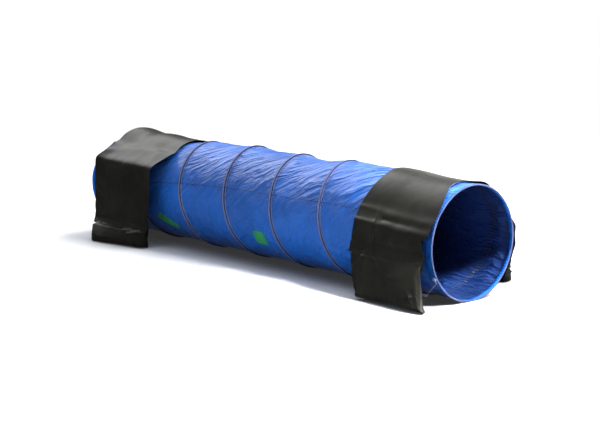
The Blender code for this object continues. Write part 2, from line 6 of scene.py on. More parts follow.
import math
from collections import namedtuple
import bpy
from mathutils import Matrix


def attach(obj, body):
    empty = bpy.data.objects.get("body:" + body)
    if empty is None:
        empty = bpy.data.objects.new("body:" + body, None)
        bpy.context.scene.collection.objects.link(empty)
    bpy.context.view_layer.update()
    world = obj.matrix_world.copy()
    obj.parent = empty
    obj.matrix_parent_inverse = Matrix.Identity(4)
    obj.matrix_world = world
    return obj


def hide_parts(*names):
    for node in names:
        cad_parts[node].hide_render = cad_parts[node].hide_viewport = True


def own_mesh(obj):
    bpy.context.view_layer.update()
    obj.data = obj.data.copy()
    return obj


bl_info = {
    "name": "Dog agility tunnel",
    "version": (1, 0, 0),
    "blender": (4, 5, 0),
    "location": "3D View > Sidebar > Tunnel",
    "description": "Builds the tunnel, its piping and cord, and the two saddle sandbags",
    "category": "Object",
}

import bmesh
import bpy
import numpy as np
from bpy.props import FloatProperty, FloatVectorProperty, PointerProperty
from mathutils import Vector

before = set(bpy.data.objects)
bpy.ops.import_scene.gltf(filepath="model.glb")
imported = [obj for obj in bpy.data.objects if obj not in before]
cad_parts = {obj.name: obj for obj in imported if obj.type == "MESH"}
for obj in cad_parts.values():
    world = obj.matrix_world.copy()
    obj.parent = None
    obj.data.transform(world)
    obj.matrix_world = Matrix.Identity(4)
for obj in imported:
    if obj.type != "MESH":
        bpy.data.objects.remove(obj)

TURN = 2 * math.pi
FLOOR_ANGLE = math.radians(270)

# Sizes that the part's source gives
TUNNEL_LENGTH = 2.80
WIRE_RING_RADIUS = 0.300
WIRE_DIAMETER = 0.004
SPIRAL_TURNS = 7.25
SPIRAL_START = math.radians(232.5)
SLACK_SHIFT = 0.117
SLACK_RISE = (0.0, 0.75)
SLACK_FALL = (0.90, 2.30)
FAR_LEAN = 0.13
LEAN_RUN = (0.86, 1.36)
SKIN_THICKNESS = 0.0010
SKIN_SAG = 0.012
SAG_RUN = 0.055
SLEEVE_WIDTH = 0.015
HEM_WIDTH = 0.022
HEM_THICKNESS = 0.0012
HEM_MARGIN = 0.004
CLEARANCE = 0.0003
CRIMP_ROOM = 0.0012
END_TURN_PITCH = 0.0046
END_STEPS = 26
RING_SIDES = 24
CORD_DIAMETER = 0.0035
KNOT_SCALE = 0.0036
TAB_ANGLE = math.radians(210)
TAB_LENGTH = 0.024
TAB_WIDTH = 0.014
TAB_THICKNESS = 0.0015
TAB_SHARE = 0.75
TOGGLE_LENGTH = 0.028
TOGGLE_DIAMETER = 0.014
TOGGLE_SETBACK = 0.110
TOGGLE_OUT = 0.235
TOGGLE_UP = 0.050
SADDLE_WIDTH = 0.50
SHEET_THICKNESS = 0.0020
FLAP_ABOVE = 0.022
FLAP_BELOW = 0.030
FLAP_REACH = 0.20
TOE_RADIUS = 0.010

HALF = TUNNEL_LENGTH / 2
FACET = math.cos(math.pi / RING_SIDES)
WIRE_RADIUS = WIRE_DIAMETER / 2
WIRE_TAIL_X = HALF - HEM_THICKNESS - CRIMP_ROOM - WIRE_RADIUS
SPIRAL_X = WIRE_TAIL_X - END_TURN_PITCH * END_STEPS / RING_SIDES
PITCH = 2 * SPIRAL_X / SPIRAL_TURNS
SKIN_SEAT = WIRE_RING_RADIUS - WIRE_RADIUS - CLEARANCE
SKIN_AT_HEM = WIRE_RING_RADIUS - WIRE_RADIUS - CRIMP_ROOM
HEM_OUTER = WIRE_RING_RADIUS + WIRE_RADIUS + CRIMP_ROOM + HEM_THICKNESS
HEM_INNER = SKIN_AT_HEM - SKIN_THICKNESS - CLEARANCE - HEM_THICKNESS
AXIS_HEIGHT = HEM_OUTER * FACET
SKIN_END = HALF - HEM_THICKNESS - CLEARANCE
SKIN_STRAIGHT = HALF - HEM_WIDTH - HEM_MARGIN
MID_X = -0.032

# The roof, in this script only: taut, full and pressed-down stretches
TAUT_RUN = (0.28, 0.48)
FULL_HEIGHT = 0.013
FULL_RUN = (0.28, 0.52)
FULL_END = (0.92, 1.20)
PRESS_DEPTH = 0.026
PRESS_RUN = (0.50, 0.78)
PRESS_END = (1.20, 1.44)
PRESS_HEIGHTS = (0.36, 0.60)
# The covers: sag between turns, folds, rim and roof heights, narrowing at the foot
COVER_DIP = 0.008
FOLD_DEPTH = 1.4
RIM_LIFT = 0.008
ROOF_LOFT = 0.002
FOOT_TUCK = 0.060
COVER_GAP = 0.0006
RELIEF_BASE = 0.0045
FLAP_THICKNESS = 0.0012
# The long seam, as a distance round the skin from the floor
SEAM_ARC = 0.587
SEAM_SLOPE = 0.0233
SEAM_BEND = 0.0506
# The skin's folds and sag, and its distance from the wire past the spiral's ends
FOLD_SKEW = 0.8
FOLD_SCALES = ((0.105, 11, 0.70), (0.060, 12, 0.30))
SAG_SHAPE = 4.5
FAR_FROM_WIRE = 0.2
# Gathers, threads, weaves and dust
GATHER_PITCH = 0.012
GATHER_SKEW = 1.1
STITCH_THICKNESS = 0.0011
SKIN_WEAVE = 0.0016
BAG_WEAVE = 0.0018
SKIN_DUST = (0.16, 0.17, 0.20)
BAG_DUST = (0.040, 0.038, 0.028)

Side = namedtuple(
    "Side",
    "name sign crease_out crease_up crease_drift seam_out seam_up seam_drift "
    "toe_near toe_far toe_drift depth",
)
Saddle = namedtuple("Saddle", "name crown_x front back rounding")
NEAR_SADDLE = Saddle(
    "near_saddle", HALF - 0.340,
    Side("front", -1, 0.0206, 0.0782, 0.050, 0.0326, 0.260, 0.050,
         0.1246, 0.1126, 0.154, 0.040),
    Side("back", 1, 0.0256, 0.0582, -0.030, 0.0956, 0.120, -0.060,
         0.2216, 0.1956, -0.095, 0.090),
    6,
)
FAR_SADDLE = Saddle(
    "far_saddle", -HALF + 0.422,
    Side("front", -1, 0.0406, 0.1632, -0.080, 0.0806, 0.120, -0.030,
         0.1356, 0.2216, 0.020, 0.072),
    Side("back", 1, 0.0306, 0.0982, 0.020, 0.0656, 0.200, 0.030,
         0.1656, 0.1756, 0.040, 0.080),
    3,
)

# Creases pressed into a flank: ends as (share across, height), half width, height
NEAR_FRONT_CREASES = (
    ((0.27, 0.43), (0.27, 0.262), 0.006, 0.0040),
    ((0.27, 0.268), (0.12, 0.350), 0.010, 0.0050),
    ((0.28, 0.266), (0.52, 0.335), 0.013, 0.0055),
    ((0.27, 0.258), (0.24, 0.120), 0.009, 0.0050),
    ((0.29, 0.258), (0.47, 0.170), 0.010, 0.0045),
    ((0.26, 0.258), (0.07, 0.105), 0.012, 0.0045),
    ((0.55, 0.262), (0.97, 0.246), 0.008, 0.0040),
    ((0.98, 0.080), (0.84, 0.066), 0.009, 0.0050),
    ((0.98, 0.080), (0.86, 0.108), 0.010, 0.0040),
    ((0.98, 0.080), (0.93, 0.015), 0.006, 0.0040),
    ((0.05, 0.020), (0.35, 0.080), 0.016, 0.0040),
    ((0.60, 0.140), (0.90, 0.190), 0.018, 0.0040),
    ((0.02, 0.452), (0.98, 0.440), 0.016, 0.0060),
    ((0.00, 0.392), (0.95, 0.375), 0.013, 0.0055),
    ((0.35, 0.412), (0.98, 0.405), 0.012, -0.0045),
    ((0.65, 0.300), (0.98, 0.345), 0.018, 0.0060),
)
FAR_FRONT_CREASES = (
    ((0.66, 0.118), (0.99, 0.094), 0.007, 0.0070),
    ((0.70, 0.072), (0.99, 0.094), 0.007, 0.0060),
    ((0.80, 0.140), (0.99, 0.100), 0.007, 0.0045),
    ((0.02, 0.128), (0.55, 0.150), 0.007, 0.0035),
    ((0.05, 0.150), (0.40, 0.165), 0.006, 0.0025),
    ((0.12, 0.270), (0.34, 0.150), 0.020, 0.0055),
    ((0.05, 0.300), (0.20, 0.210), 0.016, 0.0040),
    ((0.02, 0.500), (0.60, 0.545), 0.020, 0.0050),
    ((0.30, 0.585), (0.75, 0.490), 0.018, 0.0045),
    ((0.60, 0.560), (0.98, 0.500), 0.016, 0.0045),
    ((0.50, 0.440), (0.95, 0.380), 0.020, 0.0040),
)
NEAR_BACK_CREASES = (
    ((0.30, 0.330), (0.34, 0.130), 0.012, 0.0050),
    ((0.34, 0.135), (0.70, 0.220), 0.014, 0.0050),
    ((0.02, 0.200), (0.34, 0.135), 0.014, 0.0045),
    ((0.98, 0.060), (0.70, 0.045), 0.008, 0.0060),
    ((0.98, 0.060), (0.78, 0.100), 0.008, 0.0050),
    ((0.05, 0.440), (0.95, 0.430), 0.016, 0.0050),
    ((0.55, 0.380), (0.95, 0.330), 0.018, 0.0045),
)
FAR_BACK_CREASES = (
    ((0.40, 0.390), (0.42, 0.215), 0.012, 0.0050),
    ((0.42, 0.215), (0.15, 0.300), 0.014, 0.0045),
    ((0.42, 0.205), (0.66, 0.100), 0.014, 0.0050),
    ((0.42, 0.205), (0.20, 0.090), 0.014, 0.0045),
    ((0.02, 0.060), (0.25, 0.050), 0.008, 0.0060),
    ((0.05, 0.470), (0.95, 0.480), 0.018, 0.0050),
    ((0.60, 0.360), (0.96, 0.300), 0.018, 0.0045),
)
CREASES = {
    ("near_saddle", "front"): NEAR_FRONT_CREASES,
    ("near_saddle", "back"): NEAR_BACK_CREASES,
    ("far_saddle", "front"): FAR_FRONT_CREASES,
    ("far_saddle", "back"): FAR_BACK_CREASES,
}

# How far each flank's two edges lie from where a plain strip's would: (height, shift)
EDGES = {
    ("near_saddle", "front"): (
        ((0, -0.006), (0.154, -0.034), (0.253, -0.008), (0.373, 0.008),
         (0.471, 0.014), (0.522, 0.038), (0.583, 0.064), (0.602, 0.050)),
        ((0, 0.000), (0.070, -0.059), (0.259, 0.023), (0.344, 0.000),
         (0.379, 0.040), (0.456, 0.052), (0.528, 0.058), (0.579, 0.033), (0.602, 0)),
    ),
    ("near_saddle", "back"): (
        ((0, 0.000), (0.300, 0.010), (0.560, 0.040), (0.602, 0.050)),
        ((0, 0.000), (0.120, 0.040), (0.240, 0.090), (0.345, 0.105), (0.450, 0.070),
         (0.530, 0.030), (0.602, 0.000)),
    ),
    ("far_saddle", "front"): (
        ((0, 0.055), (0.040, 0.030), (0.113, 0.000), (0.451, 0.013), (0.520, 0.000),
         (0.602, -0.090)),
        ((0, -0.060), (0.040, -0.046), (0.113, -0.008), (0.463, 0.030), (0.550, -0.010),
         (0.602, -0.080)),
    ),
    ("far_saddle", "back"): (
        ((0, 0.050), (0.060, 0.020), (0.200, 0.000), (0.500, 0.000), (0.602, -0.090)),
        ((0, -0.040), (0.060, -0.015), (0.200, 0.006), (0.500, 0.010), (0.602, -0.080)),
    ),
}
# The near bag's free corner stands off the roof: out, reach and height
LIFTED_CORNER = (0.165, 0.055, 0.024)

# How finely the pieces are meshed
SKIN_COLUMNS = 176
SKIN_ROWS = 32
HEM_COLUMNS = 264
HEM_STITCH_STEPS = 500
PATH_STEP = 0.003
CORD_STEP = 0.002
KNOT_STEPS = 120
TURN_TABLE = np.linspace(0, SPIRAL_TURNS, 4000)
MERGE_DISTANCE = 1e-5
SHEET_ACROSS = 72
SHEET_RUNS = {"pocket": 24, "flank": 26, "tent": 14, "crown": 26}
POCKET_ACROSS = 32
POCKET_INSET = 0.004
POCKET_VOXEL = 0.006
POCKET_SWELL = 0.009
SWELL_FRAMES = 20
FLAP_ACROSS = 72
FLAP_ROWS = 12
FLAP_TOP_SHARE = 0.42

# The printed patches on the skin: along the tunnel, round it, length, height, turn
PATCHES = (
    (-0.804, 0.283, 0.150, 0.052, math.radians(-35)),
    (0.015, 0.313, 0.090, 0.090, 0.0),
)

WHITE = (1, 1, 1)
SKY = (0.90, 0.94, 1.0)
SKY_LIGHT = 0.30
SKY_MIRRORED = 0.10
FLOOR_REACH = 60.0
FLOOR_GLOW = 0.03
FLOOR_SHADED = (0.03, 0.035, 0.06)
FLOOR_OPEN = (0.86, 0.87, 0.90)
CONTACT_REACH = 0.20
# Name, place, target, width and power
LAMPS = (
    ("top_lamp", (0.8, 3.0, 4.8), (0.0, 0, 0.3), 4.2, 620),
    ("roof_lamp", (-7.0, 2.0, 6.2), (0.3, 0, 0.5), 7.0, 480),
    ("back_lamp", (-2.0, 6.5, 3.2), (0, 0, 0.5), 3.6, 420),
    ("mouth_lamp", (4.6, 1.2, 4.2), (1.32, 0.14, 0.0), 1.8, 46),
    ("front_lamp", (-1.5, -7.0, 3.0), (0, 0, 0.3), 4.0, 135),
)
MOUTH_SPREAD = math.radians(16)

CAMERA_PLACE = (8.76165669, -7.92682947, 2.50502202)
CAMERA_TARGET = (0.11467358, -0.04771495, 0.3)
CAMERA_LENS = 130.413
SENSOR_WIDTH = 36.0


def colour_of(label, part, default):
    return FloatVectorProperty(name=label, description="Colour of the " + part,
                               subtype="COLOR", size=3, min=0, max=1, default=default)


def length_of(label, description, low, high, default):
    return FloatProperty(name=label, description=description, subtype="DISTANCE",
                         unit="LENGTH", min=low, max=high, default=default)


class TunnelFinishes(bpy.types.PropertyGroup):
    """Colours of the fabric, tape, cord and bags"""

    skin: colour_of("Skin", "coated tunnel fabric", (0.004, 0.100, 0.460))
    # Painted highlight: a pale lavender for the sharp fold crests on the upper skin,
    # standing in for the light's wash on top
    fold_highlight: colour_of("Fold highlight", "skin's rubbed folds", (0.100, 0.200, 0.640))
    # Painted shade: a blue far darker than the outer skin's, for the dim inside of the
    # tunnel
    lining_shade: colour_of("Lining shade", "tunnel fabric's inner face", (0.003, 0.019, 0.100))
    piping: colour_of("Piping", "tape over the wire", (0.170, 0.185, 0.340))
    binding: colour_of("Binding", "edge round each mouth", (0.070, 0.088, 0.190))
    bags: colour_of("Bags", "coated sheet of the bags", (0.012, 0.0118, 0.0095))
    cord: colour_of("Cord", "tie cord", (0.480, 0.520, 0.740))
    print_green: colour_of("Patches", "printed patches", (0.030, 0.360, 0.012))


class TunnelSizes(bpy.types.PropertyGroup):
    """Depths and pitches of the folds, gathers and stitches"""

    wrinkle: length_of(
        "Wrinkle", "Height of the skin's diagonal wrinkles", 0, 0.02, 0.0125)
    dent: length_of("Dent", "Depth of the skin's soft dents", 0, 0.02, 0.0060)
    gather_pitch: length_of(
        "Gather pitch", "Length of one gather of the piping", 0.006, 0.05, GATHER_PITCH)
    gather_depth: length_of(
        "Gather depth", "Height of the piping's gathers", 0, 0.003, 0.0007)
    stitch_spacing: length_of(
        "Stitch spacing", "Distance from one stitch to the next", 0.003, 0.03, 0.008)
    stitch_length: length_of(
        "Stitch length", "Length of one stitch", 0.002, 0.02, 0.0052)


# --- Shader building ---


class NodeTree:
    """A node tree, and how its nodes are added and joined."""

    def __init__(self, tree):
        self.tree = tree

    def plug(self, socket, value):
        """Gives a socket a link, a colour or a plain value."""
        if isinstance(value, Value):
            value = value.socket
        if isinstance(value, bpy.types.NodeSocket):
            self.tree.links.new(value, socket)
        elif socket.type == "RGBA":
            socket.default_value = (*value[:3], 1)
        else:
            socket.default_value = value

    def node(self, kind, values=(), **settings):
        """Any node: its settings first, then its sockets' values or links."""
        made = self.tree.nodes.new(kind)
        for key, setting in settings.items():
            setattr(made, key, setting)
        for key, value in dict(values).items():
            self.plug(made.inputs[key], value)
        return made

    def get(self, kind, values=(), output=0, **settings):
        """A new node's output socket."""
        return self.node(kind, values, **settings).outputs[output]


class Value:
    """A shader socket: arithmetic on it adds Math nodes."""

    def __init__(self, finish, socket):
        self.finish = finish
        self.socket = socket

    def math(self, operation, *others):
        values = dict(enumerate([self, *others]))
        return Value(self.finish, self.finish.get(
            "ShaderNodeMath", values, operation=operation))

    def __add__(self, other):
        return self.math("ADD", other)

    __radd__ = __add__

    def __mul__(self, other):
        return self.math("MULTIPLY", other)

    def __sub__(self, other):
        return self.math("SUBTRACT", other)

    def __rsub__(self, other):
        return self.math("MULTIPLY", -1).math("ADD", other)

    def __truediv__(self, other):
        return self.math("DIVIDE", other)

    def __pow__(self, other):
        return self.math("POWER", other)

    def __abs__(self):
        return self.math("ABSOLUTE")

    def at_least(self, other):
        return self.math("MAXIMUM", other)

    def at_most(self, other):
        return self.math("MINIMUM", other)

    def rise(self, low, high):
        """0 below low and 1 above high, with a smooth rise between."""
        values = {"Value": self, "From Min": low, "From Max": high}
        return Value(self.finish, self.finish.get(
            "ShaderNodeMapRange", values, "Result", interpolation_type="SMOOTHSTEP"))

    def fall(self, low, high):
        return 1 - self.rise(low, high)

    def wave(self, period):
        """A sine that comes round again after each period."""
        return (self * (TURN / period)).math("SINE")

    def fade(self, reach):
        """1 at nought, dying away over the reach."""
        return (self * -1 / reach).math("EXPONENT")

    def crests(self, power):
        """Narrow ridges where a noise passes its middle level."""
        return (1 - abs(self - 0.5) * 2) ** power


class Finish(NodeTree):
    """One material: its nodes, and what feeds its surface."""

    def __init__(self, name):
        self.material = bpy.data.materials.new(name)
        self.material.use_nodes = True
        super().__init__(self.material.node_tree)
        self.surface = self.tree.nodes["Principled BSDF"]
        self.place = self.get("ShaderNodeTexCoord", output="Object")

    def feed(self, **values):
        """Feeds the surface, by socket name with _ for a space. Gives the material."""
        for key, value in values.items():
            self.plug(self.surface.inputs[key.replace("_", " ")], value)
        return self.material

    def split(self, vector):
        outputs = self.node("ShaderNodeSeparateXYZ", {0: vector}).outputs
        return [Value(self, socket) for socket in outputs]

    def unrolled(self):
        """The piece's own map in metres: round the tunnel and along it."""
        return self.split(self.get("ShaderNodeUVMap", output="UV", uv_map="UVMap"))[:2]

    def attribute(self, name):
        return Value(self, self.get("ShaderNodeAttribute", output="Fac",
                                    attribute_name=name))

    def noise(self, scale, detail=3.0, roughness=0.55, at=None):
        """Noise over the object's own space, or over a pair of values."""
        vector = self.place
        if at is not None:
            vector = self.get("ShaderNodeCombineXYZ", dict(enumerate(at)))
        values = {"Vector": vector, "Scale": scale, "Detail": detail,
                  "Roughness": roughness}
        return Value(self, self.get("ShaderNodeTexNoise", values))

    def blend(self, share, low, high):
        """A colour from low to high, both colours or sockets."""
        return self.get("ShaderNodeMix", {0: share, 6: low, 7: high}, 2,
                        data_type="RGBA")

    def tint(self, share, colour, low, high):
        """A colour between two shades of itself."""
        return self.blend(share, shade(colour, low), shade(colour, high))

    def bump(self, height):
        values = {"Height": height, "Distance": 1.0, "Strength": 1.0}
        return self.get("ShaderNodeBump", values, "Normal")


def shade(colour, factor):
    return tuple(min(1.0, part * factor) for part in colour)


def patch_masks(around, along):
    """Where the two printed patches lie, and their plain inner hatching."""
    whole, inside = 0.0, 0.0
    for v0, u0, length, height, turn in PATCHES:
        dv, du = along - v0, around - u0
        a = dv * math.cos(turn) + du * math.sin(turn)
        b = du * math.cos(turn) - dv * math.sin(turn)
        masks = []
        for low, high in ((-0.001, 0.001), (-0.010, -0.008)):
            masks.append(abs(a).fall(length / 2 + low, length / 2 + high)
                         * abs(b).fall(height / 2 + low, height / 2 + high))
        hatch = (a + b).wave(0.020).rise(-0.1, 0.5)
        whole = masks[0] + whole
        inside = masks[1] * hatch + inside
    return whole, inside


def lining_finish(colours):
    """The skin's inner face, a blue far darker than the outer as painted shade for the
    tunnel's dim inside: pulled folds, and the wire's seam and tape.
    """
    finish = Finish("skin_lining")
    around, along = finish.unrolled()
    from_wire = finish.attribute("from_wire")
    drift = finish.noise(4.0, 2.0, 0.5) * 0.12
    folds = finish.noise(1.0, at=((around + drift) * 15, along * 4.0))
    crinkle = finish.noise(40.0, 5.0, 0.6)
    pucker = (around + crinkle * 0.02).wave(0.017)
    ridge = abs(from_wire - 0.006).fall(0.001, 0.0035)
    height = (folds.crests(6) * 0.0070 + crinkle * 0.0024
              + pucker * from_wire.fade(0.020) * 0.0020 + ridge * 0.0020)
    # Painted shade: the whole inner face is tinted from the dark lining colour
    blue = finish.tint(crinkle.rise(0.35, 0.70), colours.lining_shade, 0.80, 1.20)
    edge = abs(from_wire - 0.0105).fall(0.0012, 0.0026)
    tape = finish.blend(edge, blue, shade(colours.piping, 0.14))
    # Painted shade: the inner face darkens along each turn of the wire
    sewn = finish.blend(from_wire.fall(0.0070, 0.0090) * 0.5, tape,
                        shade(colours.lining_shade, 0.6))
    return finish.feed(Base_Color=sewn, Roughness=0.42 + crinkle * 0.10,
                       Normal=finish.bump(height), Specular_IOR_Level=0.50)


def skin_finish(colours):
    """Coated fabric: creases, seams, puckers, weave and the printed patches."""
    finish = Finish("coated_blue_fabric")
    around, along = finish.unrolled()
    from_wire = finish.attribute("from_wire")

    lag = (along * -1).at_least(0.0)
    seam = abs(around - (SEAM_ARC + along * SEAM_SLOPE - lag * lag * SEAM_BEND))
    seam_line = seam.fall(0.0008, 0.0028)
    seam_band = seam.fall(0.0045, 0.0060)

    skewed = math.hypot(1, FOLD_SKEW)
    across = (around - along * FOLD_SKEW) / skewed
    down = (along + around * FOLD_SKEW) / skewed
    drift = finish.noise(3.5, 2.0, 0.5) * 0.10
    streaks = finish.noise(1.0, at=((across + drift) * 15, down * 3.0))
    fine = finish.noise(1.0, at=((across + drift) * 38, down * 9))
    upper = around.rise(0.42, 0.64) * around.fall(1.15, 1.50)
    crisp = streaks.crests(6)
    crinkle = finish.noise(46.0, 5.0, 0.62)
    broad = finish.noise(6.0, 2.0, 0.5)
    rumpled = broad.rise(0.48, 0.62) * 0.0048
    loose = finish.noise(1.0, 2.0, 0.5,
                         at=((around - drift) * 7, (along + drift * 2) * 11))
    pulled = loose.crests(7) * around.fall(0.30, 0.62)
    seam_ripple = (along + broad * 0.05).wave(0.0145) * seam.fade(0.018)
    wire_ripple = (around + broad * 0.05).wave(0.019) * from_wire.fade(0.016)
    weave = around.wave(SKIN_WEAVE) * along.wave(SKIN_WEAVE)
    patch, hatch = patch_masks(around, along)
    height = (
        crisp * (upper * 0.0125 + 0.0014)
        + fine * (upper * 0.0024 + 0.0012)
        + crinkle * (rumpled * upper + 0.0026)
        + pulled * 0.0060
        + seam_ripple * 0.0011
        + wire_ripple * 0.0012
        + seam_band * 0.0009 - seam_line * 0.0016
        + weave * 0.00004
        + patch * 0.0002
    )

    cloud = finish.noise(2.4, 3.0, 0.5)
    blue = finish.tint(cloud.rise(0.35, 0.70), colours.skin, 0.82, 1.18)
    # Painted highlight: the sharp fold crests on the upper skin go pale lavender, for the
    # light's wash on top
    fold_highlight = finish.blend(crisp * upper * 0.34, blue, colours.fold_highlight)
    flange = from_wire.fall(0.0130, 0.0145) * along.fall(0.95, 1.05)
    taped = finish.blend(flange, fold_highlight, shade(colours.piping, 1.3))
    border = abs(from_wire - 0.0160).fall(0.0008, 0.0022)
    # Dark lines: the long seam's own line; a line just outside the tape's flat edge,
    # partly stitching and partly painted shadow; and painted shade on the skin under the
    # piping
    dark_lines = (seam_line * 0.85 + border * 0.8
                  + from_wire.fall(0.0050, 0.0065) * 0.6)
    sewn = finish.blend(dark_lines.at_most(1.0), taped, shade(colours.skin, 0.20))
    dust = around.fall(0.0, 0.25) * cloud.rise(0.4, 0.8) * 0.12
    dusty = finish.blend(dust, sewn, SKIN_DUST)
    printed = finish.blend(patch.at_most(1.0) * (1 - hatch * 0.40), dusty,
                           colours.print_green)
    roughness = 0.36 + crinkle * 0.10 - crisp * upper * 0.06 + patch * 0.06
    return finish.feed(Base_Color=printed, Roughness=roughness,
                       Normal=finish.bump(height), Coat_Weight=0.12,
                       Coat_Roughness=0.24, Specular_IOR_Level=0.45)


def piping_finish(colours):
    """Gathered tape: pale along its middle and dark at its sewn edges, that dark being
    painted shade on the tube's sides; its gathers are painted paler on their crests and
    darker in their folds.
    """
    finish = Finish("piping_tape")
    across, along = finish.attribute("across"), finish.attribute("along")
    strand = (along / GATHER_PITCH + across * GATHER_SKEW).wave(1)
    fibre = finish.noise(900.0, 2.0, 0.6)
    tone = finish.noise(12.0, 3.0, 0.5)
    # Painted light and shade: the tint follows the gathers' own wave, paler on their
    # crests and darker in their folds
    pale = finish.tint(strand.rise(-0.9, 0.9), colours.piping, 0.62, 1.25)
    aged = finish.blend(tone.rise(0.45, 0.75) * 0.35, pale,
                        shade(colours.piping, 0.75))
    run_in = finish.blend(along.fall(0.30, 0.42), aged, shade(colours.skin, 0.85))
    # Painted shade: the tube's sides, towards the skin, go to a deep skin blue
    sewn = finish.blend(abs(across).rise(0.25, 0.40), run_in,
                        shade(colours.skin, 0.28))
    return finish.feed(Base_Color=sewn, Roughness=0.62 + fibre * 0.15,
                       Normal=finish.bump(strand * 0.0004 + fibre * 0.0002),
                       Specular_IOR_Level=0.04)


def hem_finish(colours):
    """The mouth's folded band: blue fabric with a pale bound edge."""
    finish = Finish("mouth_hem")
    back, around = finish.attribute("setback"), finish.attribute("around")
    bound = back.fall(0.0022, 0.0034)
    gather = around.wave(0.016)
    rib = around.wave(0.0022)
    tone = finish.noise(18.0, 4.0, 0.55)
    blue = finish.tint(tone.rise(0.3, 0.75), colours.skin, 0.85, 1.30)
    pale = finish.tint(tone.rise(0.35, 0.75), colours.binding, 0.80, 1.10)
    stitched = finish.blend(bound, blue, pale)
    groove = abs(back - 0.0040).fall(0.0004, 0.0010)
    colour = finish.blend(groove * 0.7, stitched, shade(colours.skin, 0.30))
    height = gather * (1 - bound) * 0.0008 + rib * bound * 0.00015 + tone * 0.0006
    return finish.feed(Base_Color=colour, Roughness=0.44 + bound * 0.12,
                       Normal=finish.bump(height - groove * 0.0005),
                       Specular_IOR_Level=0.08)


def bag_finish(colours):
    """Heavy coated sheet: fine grain, soft creases, scuffed and a little dusty."""
    finish = Finish("coated_bag_sheet")
    grain = finish.noise(420.0, 3.0, 0.6)
    crease = finish.noise(7.0, 2.0, 0.45)
    soft = finish.noise(4.0, 2.0, 0.5)
    sharp = crease.crests(9)
    scuff = finish.noise(55.0, 6.0, 0.7).rise(0.60, 0.78)
    x, _, z = finish.split(finish.place)
    low = z.fall(0.0, 0.22)
    weave = z.wave(BAG_WEAVE) * x.wave(BAG_WEAVE)
    tone = finish.tint(soft.rise(0.3, 0.7), colours.bags, 0.80, 1.25)
    scuffed = finish.blend(scuff * 0.12 + sharp * 0.06, tone,
                           shade(colours.bags, 2.2))
    dusty = finish.blend(low * scuff * 0.15, scuffed, BAG_DUST)
    height = (grain * 0.00010 + crease * 0.0030 + sharp * 0.0003
              + weave * 0.00003 + soft * 0.004)
    return finish.feed(Base_Color=dusty, Normal=finish.bump(height),
                       Roughness=0.32 + grain * 0.08 + scuff * 0.08 + low * 0.04,
                       Specular_IOR_Level=0.15)


def cord_finish(colours):
    """Braided cord: two sets of strands crossing."""
    finish = Finish("braided_cord")
    along = finish.attribute("along")
    one = (along / 0.004 + finish.attribute("across") * 1.5).wave(1)
    two = (along / 0.004 - finish.attribute("rise") * 1.5).wave(1)
    braid = one * two
    fibre = finish.noise(1500.0, 2.0, 0.6)
    tone = finish.tint(braid.rise(-0.6, 0.6), colours.cord, 0.70, 1.15)
    return finish.feed(Base_Color=tone, Roughness=0.68 + fibre * 0.12,
                       Normal=finish.bump(braid * 0.0003 + fibre * 0.0001),
                       Sheen_Weight=0.2)


def steel_finish():
    """Drawn spring wire, a little dull."""
    finish = Finish("spring_steel")
    drawn = finish.noise(300.0, 4.0, 0.6)
    dull = finish.noise(25.0, 3.0, 0.5)
    colour = finish.blend(dull.rise(0.3, 0.7), (0.36, 0.36, 0.38), (0.52, 0.52, 0.53))
    return finish.feed(Base_Color=colour, Roughness=0.26 + drawn * 0.16,
                       Metallic=1.0, Normal=finish.bump(drawn * 0.00008))


def toggle_finish(colours):
    """Moulded plastic with faint flow marks and rubbed ends."""
    finish = Finish("moulded_toggle")
    flow = finish.noise(120.0, 3.0, 0.5)
    rub = finish.noise(500.0, 4.0, 0.65).rise(0.5, 0.7)
    base = shade(colours.cord, 1.25)
    colour = finish.tint(flow.rise(0.3, 0.7), base, 0.88, 1)
    return finish.feed(Base_Color=finish.blend(rub * 0.2, colour, shade(base, 1.2)),
                       Roughness=0.34 + rub * 0.2, Coat_Weight=0.1,
                       Normal=finish.bump(flow * 0.0002 + rub * 0.00005))


def webbing_finish(colours):
    """Woven tab of the cord, ribbed both ways."""
    finish = Finish("webbing")
    x, _, z = finish.split(finish.place)
    rib = x.wave(0.0018) * z.wave(0.0012)
    tone = finish.tint(rib.rise(-0.5, 0.5), colours.piping, 0.7, 1.1)
    return finish.feed(Base_Color=tone, Roughness=0.7 + rib * 0.05,
                       Normal=finish.bump(rib * 0.0002))


def thread_finish(name, colour):
    """Twisted sewing thread, made once under its name."""
    if name in bpy.data.materials:
        return bpy.data.materials[name]
    finish = Finish(name)
    twist = finish.noise(2500.0, 2.0, 0.5)
    tone = finish.tint(twist.rise(0.3, 0.7), colour, 0.75, 1.2)
    return finish.feed(Base_Color=tone, Roughness=0.55 + twist * 0.15,
                       Normal=finish.bump(twist * 0.0001))


# --- Shape building ---


def smooth_share(value, limits):
    share = np.clip((value - limits[0]) / (limits[1] - limits[0]), 0, 1)
    return share * share * (3 - 2 * share)


def hump(value, rise, fall):
    """1 between the rise and the fall, and 0 beyond them."""
    return smooth_share(value, rise) * (1 - smooth_share(value, fall))


def spiral_x(turns):
    """A steady pitch, but for the slack that crowds the first turn to the mouth."""
    slack = hump(turns, SLACK_RISE, SLACK_FALL)
    return SPIRAL_X - PITCH * turns + SLACK_SHIFT * slack


def wire_x(turns):
    """Along the tunnel: an end turn, the spiral, and the other end turn."""
    lead = END_TURN_PITCH * -turns
    tail = END_TURN_PITCH * (turns - SPIRAL_TURNS)
    middle = spiral_x(np.clip(turns, 0, SPIRAL_TURNS))
    return middle + np.maximum(lead, 0) - np.maximum(tail, 0)


def leant(x, angle):
    """A place along the tunnel after the far mouth's top has leant inwards."""
    rise = np.maximum(0, np.sin(angle)) ** 2
    return x + FAR_LEAN * smooth_share(-x, LEAN_RUN) * rise


